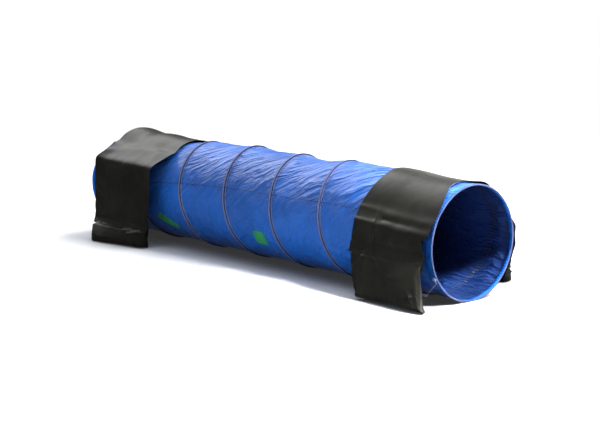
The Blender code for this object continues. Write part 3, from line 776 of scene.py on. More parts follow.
def pressed(x, z):
    """Heights with the far roof pressed down by its bag and the near roof full."""
    lift = (FULL_HEIGHT * hump(x, FULL_RUN, FULL_END)
            - PRESS_DEPTH * hump(-x, PRESS_RUN, PRESS_END))
    return z + lift * smooth_share(z, PRESS_HEIGHTS)


def round_axis(x, radius, angle):
    """World points at a place along the tunnel and a radius and angle round it."""
    y, z = radius * np.cos(angle), AXIS_HEIGHT + radius * np.sin(angle)
    x = leant(x, angle)
    return np.stack(np.broadcast_arrays(x + MID_X, y, pressed(x, z)), axis=-1)


def wire_share(x, angle):
    """How far from one turn of the wire to the next a place on the tunnel lies."""
    at = np.interp(-x, -spiral_x(TURN_TABLE), TURN_TABLE)
    row = at - (SPIRAL_START - angle) / (TURN)
    return row - np.floor(row)


def lattice_noise(spots, scale, seed):
    """Smooth noise from -1 to 1 at each point, the same on every run."""
    spots = spots / scale + seed * 7.31
    low = np.floor(spots).astype(np.int64)
    part = spots - low
    ease = part * part * (3 - 2 * part)
    total = np.zeros(spots.shape[:-1])
    for corner in range(8):
        step = np.array([(corner >> axis) & 1 for axis in range(3)])
        cell = low + step
        mixed = (cell[..., 0] * 73856093) ^ (cell[..., 1] * 19349663) ^ (
            cell[..., 2] * 83492791) ^ (seed * 9781)
        mixed = ((mixed ^ (mixed >> 13)) & 0xFFFFFFFF) * 1274126177
        height = ((mixed >> 16) & 0xFFFF) / 32767.5 - 1
        total += height * np.prod(np.where(step, ease, 1 - ease), axis=-1)
    return total


def mesh_of_grid(name, spots, uvs=None, values=None, close_rows=False,
                 close_columns=False):
    """A mesh over a grid of points, with its own map and point values."""
    rows, columns = spots.shape[:2]
    index = np.arange(rows * columns).reshape(rows, columns)
    if close_rows:
        index = np.vstack([index, index[:1]])
    if close_columns:
        index = np.hstack([index, index[:, :1]])
    faces = np.stack(
        [index[:-1, :-1], index[:-1, 1:], index[1:, 1:], index[1:, :-1]], axis=-1)
    mesh = bpy.data.meshes.new(name)
    mesh.from_pydata(spots.reshape(-1, 3).tolist(), [], faces.reshape(-1, 4).tolist())
    if uvs is not None:
        layer = mesh.uv_layers.new(name="UVMap")
        corners = np.empty(len(mesh.loops), np.int32)
        mesh.loops.foreach_get("vertex_index", corners)
        flat = uvs.reshape(-1, 2)[corners].astype(np.float32).ravel()
        layer.data.foreach_set("uv", flat)
    for key, value in (values or {}).items():
        made = mesh.attributes.new(key, "FLOAT", "POINT")
        flat = np.broadcast_to(value, (rows, columns)).astype(np.float32).ravel()
        made.data.foreach_set("value", flat)
    return mesh


def reworked(mesh, work):
    """The mesh after some work on it, with its faces turned outwards."""
    bm = bmesh.new()
    bm.from_mesh(mesh)
    work(bm)
    bmesh.ops.recalc_face_normals(bm, faces=bm.faces)
    bm.to_mesh(mesh)
    bm.free()
    return mesh


def merge_doubles(bm):
    bmesh.ops.remove_doubles(bm, verts=bm.verts, dist=MERGE_DISTANCE)
    bmesh.ops.dissolve_degenerate(bm, edges=bm.edges, dist=MERGE_DISTANCE / 10)


def fill_ends(bm):
    bmesh.ops.holes_fill(bm, edges=[edge for edge in bm.edges if edge.is_boundary])


def turn_out(mesh):
    """Turns every face round if the topmost one faces down."""
    topmost = max(mesh.polygons, key=lambda face: face.center.z)
    if topmost.normal.z < 0:
        mesh.flip_normals()
    return mesh


def put(name, data):
    """A new object in the scene."""
    made = bpy.data.objects.new(name, data)
    bpy.context.scene.collection.objects.link(made)
    return made


def add_piece(name, mesh, material):
    made = put(name, mesh)
    mesh.materials.clear()
    mesh.materials.append(material)
    mesh.shade_smooth()
    return made


def settle(obj):
    """Works the modifiers into the mesh and takes them off."""
    graph = bpy.context.evaluated_depsgraph_get()
    mesh = bpy.data.meshes.new_from_object(
        obj.evaluated_get(graph), preserve_all_data_layers=True, depsgraph=graph)
    obj.modifiers.clear()
    spare, obj.data = obj.data, mesh
    name = spare.name
    bpy.data.meshes.remove(spare)
    mesh.name = name
    return obj


def wall(obj, thickness, offset=-1, inner_material=0):
    made = obj.modifiers.new("wall", "SOLIDIFY")
    made.thickness = thickness
    made.offset = offset
    made.material_offset = inner_material
    return settle(obj)


def smoothed(obj):
    made = obj.modifiers.new("smooth", "SUBSURF")
    made.levels = made.render_levels = 1
    return settle(obj)


def points_of(obj):
    return np.array([vertex.co for vertex in obj.data.vertices])


def move_points(obj, spots):
    obj.data.vertices.foreach_set("co", spots.astype(np.float32).ravel())


def path_object(name, paths, cyclic=False):
    """A mesh of edges only, for a Geometry Nodes tree to follow."""
    points, edges = [], []
    for path in paths:
        start, count = len(points), len(path)
        points += [tuple(map(float, spot)) for spot in path]
        edges += [(start + i, start + i + 1) for i in range(count - 1)]
        if cyclic:
            edges.append((start + count - 1, start))
    mesh = bpy.data.meshes.new(name)
    mesh.from_pydata(points, edges, [])
    return put(name, mesh)


# --- Geometry Nodes trees ---


class Recipe(NodeTree):
    """A Geometry Nodes tree with named inputs."""

    def __init__(self, name, **inputs):
        super().__init__(bpy.data.node_groups.new(name, "GeometryNodeTree"))
        rows = [("Geometry", "Geometry"), *inputs.items()]
        for label, kind in rows:
            self.tree.interface.new_socket(
                label.replace("_", " "), in_out="INPUT", socket_type="NodeSocket" + kind)
        self.tree.interface.new_socket(
            "Geometry", in_out="OUTPUT", socket_type="NodeSocketGeometry")
        self.inputs = self.tree.nodes.new("NodeGroupInput").outputs
        self.output = self.tree.nodes.new("NodeGroupOutput")

    def math(self, operation, *values):
        return self.get("ShaderNodeMath", dict(enumerate(values)), operation=operation)

    def vectors(self, operation, *values):
        return self.get("ShaderNodeVectorMath", dict(enumerate(values)),
                        operation=operation)

    def combine(self, x, y, z):
        return self.get("ShaderNodeCombineXYZ", {0: x, 1: y, 2: z})

    def store(self, geometry, name, value):
        values = {"Geometry": geometry, "Name": name, "Value": value}
        return self.get("GeometryNodeStoreNamedAttribute", values,
                        data_type="FLOAT", domain="POINT")

    def end(self, geometry, material):
        real = self.get("GeometryNodeRealizeInstances", {0: geometry})
        done = self.get("GeometryNodeSetMaterial",
                        {"Geometry": real, "Material": material})
        self.plug(self.output.inputs[0], done)
        return self.tree


def sweep_recipe():
    """A tube or flat rope along a path, gathered and kept above the floor."""
    recipe = Recipe(
        "sweep along path", Width="Float", Height="Float", Gather_Pitch="Float",
        Gather_Depth="Float", Floor="Float", Axis_Height="Float", Sides="Int",
        Radial="Bool", Material="Material")
    given = recipe.inputs
    curve = recipe.get("GeometryNodeMeshToCurve", {0: given["Geometry"]})
    length = recipe.get("GeometryNodeSplineParameter", output="Length")
    curve = recipe.store(curve, "along", length)
    place = recipe.get("GeometryNodeInputPosition")
    spot = recipe.node("ShaderNodeSeparateXYZ", {0: place}).outputs
    above = recipe.math("SUBTRACT", spot["Z"], given["Axis Height"])
    out = recipe.vectors("NORMALIZE", recipe.combine(0.0, spot["Y"], above))
    aimed = recipe.get("GeometryNodeSetCurveNormal", {"Curve": curve, "Normal": out},
                       mode="FREE")
    route = recipe.get("GeometryNodeSwitch", {
        "Switch": given["Radial"], "False": curve, "True": aimed},
        input_type="GEOMETRY")
    ring = recipe.get("GeometryNodeCurvePrimitiveCircle",
                      {"Resolution": given["Sides"], "Radius": 0.5})
    ring = recipe.store(ring, "across", spot["Y"])
    ring = recipe.store(ring, "rise", spot["X"])
    size = recipe.combine(given["Height"], given["Width"], 1.0)
    ring = recipe.get("GeometryNodeTransform", {"Geometry": ring, "Scale": size})
    tube = recipe.get("GeometryNodeCurveToMesh", {
        "Curve": route, "Profile Curve": ring, "Fill Caps": True})
    along, across, rise = (
        recipe.get("GeometryNodeInputNamedAttribute", {"Name": name}, "Attribute",
                   data_type="FLOAT")
        for name in ("along", "across", "rise"))
    share = recipe.math("DIVIDE", along, given["Gather Pitch"])
    skewed = recipe.math("MULTIPLY_ADD", across, GATHER_SKEW, share)
    wave = recipe.math("SINE", recipe.math("MULTIPLY", skewed, TURN))
    top = recipe.math("MAXIMUM", rise, 0.0)
    push = recipe.math("MULTIPLY", recipe.math("MULTIPLY", wave, top),
                       recipe.math("MULTIPLY", given["Gather Depth"], 2.0))
    shift = recipe.vectors("MULTIPLY", out, recipe.combine(push, push, push))
    tube = recipe.get("GeometryNodeSetPosition", {"Geometry": tube, "Offset": shift})
    height = recipe.math("MAXIMUM", spot["Z"], given["Floor"])
    lifted = recipe.combine(spot["X"], spot["Y"], height)
    tube = recipe.get("GeometryNodeSetPosition", {"Geometry": tube, "Position": lifted})
    return recipe.end(tube, given["Material"])


def stitch_recipe():
    """Stitches at a steady spacing along paths, each a small lens of thread."""
    recipe = Recipe("stitches along path", Spacing="Float", Length="Float",
                    Thickness="Float", Material="Material")
    given = recipe.inputs
    curve = recipe.get("GeometryNodeMeshToCurve", {0: given["Geometry"]})
    curve = recipe.get("GeometryNodeResampleCurve",
                       {"Curve": curve, "Length": given["Spacing"]}, mode="LENGTH")
    points = recipe.node("GeometryNodeCurveToPoints", {"Curve": curve},
                         mode="EVALUATED").outputs
    bead = recipe.get("GeometryNodeMeshUVSphere",
                      {"Segments": 6, "Rings": 4, "Radius": 0.5})
    size = recipe.combine(given["Thickness"], given["Thickness"], given["Length"])
    laid = recipe.get("GeometryNodeInstanceOnPoints", {
        "Points": points["Points"], "Instance": bead,
        "Rotation": points["Rotation"], "Scale": size})
    return recipe.end(laid, given["Material"])


def run_recipe(obj, name, make, values):
    """Runs a tree on an object and keeps the result as its mesh."""
    tree = bpy.data.node_groups.get(name) or make()
    modifier = obj.modifiers.new(name, "NODES")
    modifier.node_group = tree
    for item in tree.interface.items_tree:
        if item.in_out == "INPUT" and item.name in values:
            modifier[item.identifier] = values[item.name]
    settle(obj)
    obj.data.shade_smooth()
    return obj


def sweep(name, points, width, height, material, sides=12, radial=False,
          pitch=0.01, depth=0.0, floor=0.0, cyclic=False):
    obj = path_object(name, [points], cyclic)
    return run_recipe(obj, "sweep along path", sweep_recipe, {
        "Width": width, "Height": height, "Gather Pitch": pitch,
        "Gather Depth": depth, "Floor": floor, "Axis Height": AXIS_HEIGHT,
        "Sides": sides, "Radial": radial, "Material": material,
    })


def stitches(name, paths, material, sizes, thickness=STITCH_THICKNESS):
    obj = path_object(name, paths)
    return run_recipe(obj, "stitches along path", stitch_recipe, {
        "Spacing": sizes.stitch_spacing, "Length": sizes.stitch_length,
        "Thickness": thickness, "Material": material,
    })


# --- The tunnel ---


def seam_arc(x):
    """Where the skin's long seam lies, as a distance round it from the floor."""
    lag = np.maximum(-x, 0)
    return SEAM_ARC + x * SEAM_SLOPE - lag * lag * SEAM_BEND


def plain_sag(part):
    """How deep the skin hangs between two turns of the wire."""
    return SKIN_SAG * SAG_SHAPE * part * (1 - part)


def skin_folds(x, angle, part, sizes):
    """How far the skin stands out of its plain sag: wrinkles, dents and gathers."""
    arc = SKIN_SEAT * (FLOOR_ANGLE - angle)
    ring = round_axis(x, SKIN_SEAT, angle)
    seated = smooth_share(part, (0.0, 0.16)) * smooth_share(1 - part, (0.0, 0.16))
    across = (arc - x * FOLD_SKEW) / math.hypot(1, FOLD_SKEW)
    down = (x + arc * FOLD_SKEW) / math.hypot(1, FOLD_SKEW)
    plane = np.stack([across, down, np.zeros_like(across)], axis=-1)
    plane[..., 0] += lattice_noise(plane, np.array([0.22, 0.30, 1.0]), 3) * 0.035
    ridges = 0.0
    for scale, seed, weight in FOLD_SCALES:
        fold = lattice_noise(plane, np.array([scale, scale * 4, 1.0]), seed)
        ridges = ridges + weight * np.maximum(0, 1 - 2 * np.abs(fold)) ** 3
    upper = hump(arc, (0.48, 0.66), (1.05, 1.45))
    patchy = 0.65 + 0.35 * lattice_noise(ring, 0.30, 21)
    dents = lattice_noise(ring, np.array([0.11, 0.16, 0.16]), 31)
    dents = dents + 0.5 * lattice_noise(ring, np.array([0.06, 0.09, 0.09]), 32)
    lower = hump(arc, (0.10, 0.25), (0.45, 0.75))
    beyond = hump(arc, (1.05, 1.30), (1.60, 1.78))
    mouth = hump(x, (0.98, 1.22), (1.33, 1.372))
    covered = hump(x, (0.74, 0.80), (1.30, 1.36)) + hump(-x, (0.67, 0.73), (1.26, 1.32))
    bare = 1 - covered * smooth_share(np.sin(angle), (-0.1, 0.25))
    pleat = np.stack([arc, x, np.zeros_like(arc)], axis=-1)
    pleats = lattice_noise(pleat, np.array([0.028, 0.30, 1.0]), 41)
    return (
        sizes.wrinkle * ridges * patchy * (0.20 + 0.80 * upper) * seated * bare
        - sizes.dent * dents * (0.30 + 0.55 * lower + 0.35 * beyond) * seated * bare
        + 0.0035 * pleats * mouth
    )


def build_skin(sizes, colours):
    turns = np.arange(SKIN_COLUMNS + 1) / SKIN_COLUMNS
    last = math.ceil((2 * SPIRAL_X / PITCH + 0.4) * SKIN_ROWS)
    rows = np.arange(-SKIN_ROWS, last + 1) / SKIN_ROWS
    turn, row = np.meshgrid(turns, rows, indexing="ij")
    free = spiral_x(turn + row)
    x = np.clip(free, -SKIN_STRAIGHT, SKIN_STRAIGHT)
    angle = np.broadcast_to(SPIRAL_START - TURN * turn, x.shape)
    part = row - np.floor(row)
    wound = np.where(angle < math.radians(-90), angle + TURN, angle)
    taut = smooth_share(x, TAUT_RUN) * smooth_share(np.sin(wound), (0.3, 0.8))
    sag = plain_sag(part) * (1 - 0.85 * taut)
    under = 1 - smooth_share(np.sin(wound), (-1.0, -0.80))
    ease = np.minimum(1, (SKIN_STRAIGHT - np.abs(x)) / SAG_RUN)
    ends = np.abs(free) >= SKIN_STRAIGHT
    folds = skin_folds(x, wound, part, sizes) * ease
    radius = SKIN_SEAT - (sag * (1 - 0.8 * under) * ease) + folds
    roof = np.where(part * (1 - part) < 0.02, SKIN_SEAT, SKIN_SEAT + 0.001)
    radius = np.where(ends, SKIN_AT_HEM, np.minimum(radius, roof))
    spots = round_axis(x, radius, wound)
    spots[..., 2] = np.maximum(spots[..., 2], 0.0015)
    from_wire = np.abs(free - spiral_x(turn + np.round(row)))
    from_wire = np.where(np.abs(free) > SPIRAL_X, FAR_FROM_WIRE, from_wire)

    rims = []
    for side, place in ((1, 0), (-1, -1)):
        tips = np.full(len(turns), side * SKIN_END)
        rims.append(round_axis(tips, SKIN_AT_HEM, wound[:, place])[:, None, :])
    spots = np.concatenate([rims[0], spots, rims[1]], axis=1)
    fringe = np.full((len(turns), 1), FAR_FROM_WIRE)
    from_wire = np.concatenate([fringe, from_wire, fringe], axis=1)
    round_by = np.concatenate([wound[:, :1], wound, wound[:, -1:]], axis=1)
    arc = SKIN_SEAT * (FLOOR_ANGLE - round_by)
    uvs = np.stack([arc, spots[..., 0]], axis=-1)
    mesh = mesh_of_grid("skin", spots, uvs, {"from_wire": from_wire})
    obj = add_piece("skin", turn_out(reworked(mesh, merge_doubles)), skin_finish(colours))
    obj.data.materials.append(lining_finish(colours))
    wall(obj, SKIN_THICKNESS, inner_material=1)
    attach(obj, "near_end")
    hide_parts("tunnel_skin")
    squash(obj)
    return obj


def squash(obj):
    """Gives a soft piece a mesh of its own."""
    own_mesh(obj)


def wire_path(first, last, radius):
    count = round((last - first) * TURN * WIRE_RING_RADIUS / PATH_STEP)
    turns = np.linspace(first, last, count)
    return round_axis(wire_x(turns), radius, SPIRAL_START - TURN * turns)


def build_wire():
    """The spiral. The two crimps keep the part's shape and take its steel."""
    lead = END_STEPS / RING_SIDES
    path = wire_path(-lead, SPIRAL_TURNS + lead, WIRE_RING_RADIUS)[::3]
    obj = sweep("steel_spiral", path, WIRE_DIAMETER, WIRE_DIAMETER, steel_finish(),
                sides=8, radial=True, floor=0.0008)
    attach(obj, "near_end")
    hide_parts("spiral_wire")
    squash(obj)
    for name in ("near_crimp", "far_crimp"):
        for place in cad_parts[name].material_slots:
            place.material = obj.data.materials[0]
    return obj


def sleeve_turns():
    """The turns between which the tape runs, clear of the hems."""
    reach = HALF - HEM_WIDTH - CLEARANCE - SLEEVE_WIDTH / 2
    inside = TURN_TABLE[np.abs(wire_x(TURN_TABLE)) <= reach]
    return inside[0], inside[-1]


def build_piping(sizes, colours):
    first, last = sleeve_turns()
    obj = sweep("piping", wire_path(first, last, WIRE_RING_RADIUS + 0.0006),
                SLEEVE_WIDTH, 0.0076, piping_finish(colours), radial=True,
                pitch=sizes.gather_pitch, depth=sizes.gather_depth, floor=0.0004)
    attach(obj, "near_end")
    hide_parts("wire_sleeve")
    squash(obj)
    edges = []
    for side in (-1, 1):
        path = wire_path(first, last, SKIN_SEAT + 0.0012)
        path[:, 0] += side * (SLEEVE_WIDTH / 2 + 0.0010)
        path[:, 2] = np.maximum(path[:, 2], 0.0012)
        edges.append(path)
    thread = thread_finish("blue_thread", shade(colours.skin, 0.45))
    sewn = stitches("piping_stitches", edges, thread, sizes)
    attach(sewn, "near_end")
    squash(sewn)
    return obj


def build_seam(sizes, colours):
    """The two rows of stitches down the skin's long seam."""
    paths = []
    x = np.arange(-SKIN_STRAIGHT + 0.01, SKIN_STRAIGHT - 0.01, 0.006)
    for side in (-0.0038, 0.0038):
        angle = FLOOR_ANGLE - (seam_arc(x + MID_X) + side) / SKIN_SEAT
        part = wire_share(x, angle)
        ease = np.minimum(1, (SKIN_STRAIGHT - np.abs(x)) / SAG_RUN)
        stands = skin_folds(x, angle, part, sizes) - plain_sag(part)
        path = round_axis(x, SKIN_SEAT + 0.0004 + stands * ease, angle)
        clear = np.minimum(part, 1 - part) * PITCH > SLEEVE_WIDTH / 2 + 0.004
        run = []
        for spot, keep in zip([*path, None], [*clear, False]):
            if keep:
                run.append(spot)
                continue
            if len(run) > 2:
                paths.append(run)
            run = []
    thread = thread_finish("seam_thread", shade(colours.skin, 1.6))
    obj = stitches("seam_stitches", paths, thread, sizes, 0.0012)
    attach(obj, "near_end")
    squash(obj)
    return obj


def build_hem(name, node, body, side, sizes, colours, material):
    """A folded channel over the end turn, its inner edge gathered into scallops."""
    angle = TURN * np.arange(HEM_COLUMNS) / HEM_COLUMNS
    ripple = 0.5 + 0.5 * np.sin(angle * 62 + 1.5 * np.sin(angle * 5))
    spots = np.stack([np.cos(angle), np.sin(angle), np.zeros_like(angle)], axis=-1)
    scallop = ripple * (0.5 + 0.5 * lattice_noise(spots, 0.12, 51))
    outer, inner, thick = HEM_OUTER - 0.0004, HEM_INNER, HEM_THICKNESS
    outline = [
        (-HEM_WIDTH, outer - 0.0030), (-HEM_WIDTH * 0.85, outer - 0.0018),
        (-HEM_WIDTH * 0.55, outer - 0.0004), (-0.006, outer), (-0.0020, outer - 0.0002),
        (-0.0004, outer - 0.0020), (0.0, (outer + inner) / 2),
        (-0.0004, inner + 0.0020),
        (-0.0025, inner + 0.0002), (-0.007, inner), (-HEM_WIDTH * 0.6, inner),
        (-HEM_WIDTH, inner - 0.0002), (-HEM_WIDTH, inner + thick),
        (-HEM_WIDTH * 0.5, inner + thick), (-thick - 0.001, inner + thick + 0.001),
        (-thick - 0.001, outer - thick - 0.001),
        (-HEM_WIDTH * 0.5, outer - thick - 0.001), (-HEM_WIDTH, outer - thick - 0.003),
    ]
    rings = []
    for place, (x, radius) in enumerate(outline):
        inside = 9 <= place <= 13
        deep = -x / HEM_WIDTH
        wave = (ripple - 0.5) * 0.0010 * deep
        pull = -0.0022 * scallop * deep if inside else 0.0
        slide = 0.0030 * scallop * deep if inside else 0.0
        rings.append(round_axis(side * (HALF + x + slide), radius + wave + pull, angle))
    grid = np.stack(rings)
    grid[..., 2] = np.maximum(grid[..., 2], 0.0)
    values = {"setback": -np.array(outline)[:, :1], "around": angle * HEM_OUTER}
    mesh = mesh_of_grid(name, grid, values=values, close_rows=True, close_columns=True)
    obj = add_piece(name, reworked(mesh, merge_doubles), material)
    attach(obj, body)
    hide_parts(node)
    if side < 0:
        squash(obj)
    path = round_axis(side * (HALF - HEM_WIDTH * 0.72), outer + 0.0002,
                      np.linspace(0, TURN, HEM_STITCH_STEPS))
    path[:, 2] = np.maximum(path[:, 2], 0.0010)
    thread = thread_finish("hem_thread", colours.binding)
    sewn = stitches(name + "_stitches", [path], thread, sizes)
    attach(sewn, body)
    if side < 0:
        squash(sewn)
    return obj


# --- The cord ---


def around(x, radius, angle):
    return Vector((x + MID_X, radius * math.cos(angle),
                   AXIS_HEIGHT + radius * math.sin(angle)))


def outward_at(angle):
    return Vector((0, math.cos(angle), math.sin(angle)))


def tab_frame():
    """The tab's middle on the skin's sag behind the first turn, and its way out."""
    step = TURN / RING_SIDES
    column = int((SPIRAL_START - TAB_ANGLE) / step)
    places = [spiral_x((i + 8 * row) / RING_SIDES) for row in (1, 2)
              for i in (column, column + 1)]
    x = min(places[:2]) + (max(places[2:]) - min(places[:2])) * TAB_SHARE
    distance = (SKIN_SEAT - SKIN_SAG) * FACET + CLEARANCE + TAB_THICKNESS / 2
    return around(float(x), distance, TAB_ANGLE), outward_at(TAB_ANGLE)


def knot_frame():
    distance = HEM_OUTER * FACET + CLEARANCE + KNOT_SCALE + CORD_DIAMETER / 2
    return around(HALF - HEM_WIDTH / 2, distance, TAB_ANGLE), outward_at(TAB_ANGLE)


def toggle_place():
    return Vector((HALF - TOGGLE_SETBACK + MID_X, -TOGGLE_OUT, TOGGLE_UP))


def cord_route():
    """From the tab, down through the toggle, and up to the knot."""
    tab, tab_out = tab_frame()
    knot, knot_out = knot_frame()
    start = tab + tab_out * (TAB_THICKNESS / 2 + CLEARANCE)
    reach = KNOT_SCALE * 3 + CORD_DIAMETER / 2 + CLEARANCE
    down = knot_out.cross(Vector((1, 0, 0)))
    if down.z > 0:
        down = -down
    end = knot + down * reach
    toggle = toggle_place()
    half = Vector((TOGGLE_LENGTH / 2, 0, 0))
    lead = Vector((2 * CORD_DIAMETER, 0, 0))
    rise = Vector((0, 0, 5 * CORD_DIAMETER))
    swing = 3 * CORD_DIAMETER
    return [
        start,
        start + tab_out * CORD_DIAMETER,
        start + tab_out * swing + lead / 2,
        toggle - half - lead * 2 + rise,
        toggle - half - lead,
        toggle - half,
        toggle + half,
        toggle + half + lead,
        toggle + half + lead * 2 + rise,
        end + down * swing,
        end + down * CORD_DIAMETER,
        end,
    ]


def smooth_route(route, spacing, steps):
    """Points at a steady spacing along a smooth curve through the route."""
    ends = [route[0] * 2 - route[1], *route, route[-1] * 2 - route[-2]]
    fine = []
    for a, b, c, d in zip(ends, ends[1:], ends[2:], ends[3:]):
        for i in range(steps):
            t = i / steps
            fine.append(0.5 * (
                2 * b + (c - a) * t + (2 * a - 5 * b + 4 * c - d) * t * t
                + (3 * b - a - 3 * c + d) * t ** 3))
    fine.append(route[-1])
    spots = np.array([tuple(p) for p in fine])
    steps_long = np.linalg.norm(np.diff(spots, axis=0), axis=1)
    lengths = np.concatenate([[0], np.cumsum(steps_long)])
    wanted = np.linspace(0, lengths[-1], round(lengths[-1] / spacing) + 1)
    return np.stack([np.interp(wanted, lengths, row) for row in spots.T], axis=-1)


def knot_points():
    middle, outward = knot_frame()
    along = Vector((1, 0, 0))
    across = outward.cross(along)
    points = []
    for i in range(KNOT_STEPS):
        t = TURN * i / KNOT_STEPS
        u = math.sin(t) + 2 * math.sin(2 * t)
        v = math.cos(t) - 2 * math.cos(2 * t)
        points.append(middle + (along * u + across * v - outward * math.sin(3 * t))
                      * KNOT_SCALE)
    return points


def lathe(name, outline, place, steps, material):
    """A closed body turned about X."""
    angle = TURN * np.arange(steps) / steps
    rings = [
        np.stack([np.full(steps, place.x + x), place.y + radius * np.cos(angle),
                  place.z + radius * np.sin(angle)], axis=-1)
        for x, radius in outline
    ]
    mesh = mesh_of_grid(name, np.stack(rings), close_rows=True, close_columns=True)
    return add_piece(name, reworked(mesh, merge_doubles), material)


def build_cord(colours):
    material = cord_finish(colours)
    route = cord_route()
    ends = [np.array(tuple(route[0])), np.array(tuple(route[-1]))]
    points = smooth_route(route[1:-1], CORD_STEP, 40)
    points = np.concatenate([ends[:1], points, ends[1:]])
    cord = sweep("cord", points, CORD_DIAMETER, CORD_DIAMETER, material)
    knot = sweep("cord_knot", knot_points(), CORD_DIAMETER, CORD_DIAMETER, material,
                 cyclic=True)
    half = TOGGLE_LENGTH / 2
    belly = TOGGLE_DIAMETER / 2
    bore = CORD_DIAMETER / 2 + 0.0006
    outline = [(-half, bore), (-half, belly * 0.55), (-half * 0.97, belly * 0.68)]
    for share in np.linspace(-0.9, 0.9, 13):
        groove = 0.0006 if abs(abs(share) - 0.45) < 0.08 else 0.0
        outline.append((half * share, belly * math.cos(share * 0.62) - groove))
    outline += [(half * 0.97, belly * 0.68), (half, belly * 0.55), (half, bore)]
    toggle = lathe("toggle", outline, toggle_place(), 28, toggle_finish(colours))
    tab = build_tab(colours)
    for obj, node, slot in (
            (cord, "tie_cord", "pale_cord"), (knot, "rim_knot", "pale_cord"),
            (toggle, "cord_toggle", "pale_plastic"), (tab, "cord_tab", "pale_tape")):
        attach(obj, "near_end")
        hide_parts(node)
    return cord


def build_tab(colours):
    """The folded webbing tab that holds the cord, bowed over the skin."""
    middle, outward = tab_frame()
    along = Vector((1, 0, 0))
    across = outward.cross(along)
    outer, inner = [], []
    for i in range(17):
        share = i / 16 - 0.5
        bow = 0.0006 * (1 - (2 * share) ** 2)
        for rows, rise in ((outer, TAB_THICKNESS / 2 + bow), (inner, -TAB_THICKNESS / 2)):
            row = []
            for j in range(9):
                side = j / 8 - 0.5
                lip = 0.0003 if j in (0, 8) else 0.0
                row.append(middle + along * share * TAB_LENGTH
                           + across * side * TAB_WIDTH + outward * (rise - lip))
            rows.append([tuple(p) for p in row])
    loops = [top + under[::-1] for top, under in zip(outer, inner)]
    mesh = mesh_of_grid("tab", np.array(loops), close_columns=True)
    return add_piece("tab", reworked(mesh, fill_ends), webbing_finish(colours))


# --- The saddles ---


def tangent_angle(out, up, radius):
    distance = math.hypot(out, up - AXIS_HEIGHT)
    return math.atan2(out, up - AXIS_HEIGHT) - math.acos(radius / distance)


def toe_out(side, share):
    return HEM_OUTER + side.toe_far + (side.toe_near - side.toe_far) * share


def flank_corners(side, share):
    """(out, height) of the sheet's foot, seam and crease."""
    return [
        (toe_out(side, share) - side.depth, 0.0),
        (HEM_OUTER + side.seam_out, side.seam_up),
        (HEM_OUTER + side.crease_out, AXIS_HEIGHT + side.crease_up),
    ]


def wall_out(side, share, height, extra):
    """How far out the sheet's flank is, with extra beyond its inner face."""
    foot, seam, crease = flank_corners(side, share)
    above = height > side.seam_up
    slope_low = (seam[0] - foot[0]) / (seam[1] - foot[1])
    slope_high = (crease[0] - seam[0]) / (crease[1] - seam[1])
    low = foot[0] + slope_low * height + extra * np.hypot(1, slope_low)
    high = seam[0] + slope_high * (height - seam[1]) + extra * np.hypot(1, slope_high)
    return np.where(above, high, low)


def drift_at(side, height):
    """How far the saddle's middle lies along the tunnel from its crown."""
    levels = [0, side.seam_up, AXIS_HEIGHT + side.crease_up, 2 * AXIS_HEIGHT]
    drifts = [side.toe_drift, side.seam_drift, side.crease_drift, 0]
    return np.interp(height, levels, drifts)


def half_section(side, share):
    """(out, height) from the foot up to the crown, with a fixed count in each run."""
    foot, seam, crease = flank_corners(side, share)
    radius = HEM_OUTER + 2 * CLEARANCE + COVER_GAP
    touch = tangent_angle(*crease, radius)
    touch_at = (radius * math.sin(touch), AXIS_HEIGHT + radius * math.cos(touch))
    spots = []
    for low, high, run in ((foot, seam, "pocket"), (seam, crease, "flank"),
                           (crease, touch_at, "tent")):
        count = SHEET_RUNS[run]
        for i in range(count):
            spots.append([low[k] + (high[k] - low[k]) * i / count for k in (0, 1)])
    for i in range(SHEET_RUNS["crown"] + 1):
        angle = touch * (1 - i / SHEET_RUNS["crown"])
        spots.append([radius * math.sin(angle), AXIS_HEIGHT + radius * math.cos(angle)])
    return np.array(spots)


def crease_relief(share, height, creases):
    """The pressed creases' height at points given as share across and height."""
    total = np.zeros(np.broadcast(share, height).shape)
    across, up = share * SADDLE_WIDTH, height
    for (s0, h0), (s1, h1), width, rise in creases:
        a = np.array([s0 * SADDLE_WIDTH, h0])
        run = np.array([s1 * SADDLE_WIDTH, h1]) - a
        length = np.hypot(*run)
        along = ((across - a[0]) * run[0] + (up - a[1]) * run[1]) / length ** 2
        held = np.clip(along, 0, 1)
        away = np.hypot(across - a[0] - held * run[0], up - a[1] - held * run[1])
        taper = 1 - 0.7 * held
        wide = width * (0.6 + 1.1 * held)
        total += rise * taper * np.exp(-(away / wide) ** 2)
    return total


def soft_relief(share, height, seed):
    """Soft swells and shallow folds of a hanging sheet."""
    across = np.broadcast_to(share, np.broadcast(share, height).shape) * SADDLE_WIDTH
    up = np.broadcast_to(height, across.shape)
    spots = np.stack([across, up, np.full(across.shape, float(seed))], axis=-1)
    swell = lattice_noise(spots, np.array([0.16, 0.20, 1.0]), seed)
    folds = lattice_noise(spots, np.array([0.070, 0.14, 1.0]), seed + 1)
    fine = lattice_noise(spots, np.array([0.035, 0.045, 1.0]), seed + 2)
    return 0.0045 * swell + 0.0030 * folds + 0.0010 * fine


def edge_shift(saddle, side, share, height):
    """How far a place across the flank lies along the tunnel from a plain strip's."""
    low, high = EDGES[saddle.name, side.name]
    at_low = np.interp(height, *zip(*low))
    at_high = np.interp(height, *zip(*high))
    return at_low * (1 - share) + at_high * share


def flank_relief(saddle, side, share, height):
    seed = 60 + 10 * (saddle.name == "far_saddle") + 5 * (side.name == "back")
    creases = CREASES[saddle.name, side.name]
    folds = FOLD_DEPTH * crease_relief(share, height, creases)
    return soft_relief(share, height, seed) + folds + RELIEF_BASE


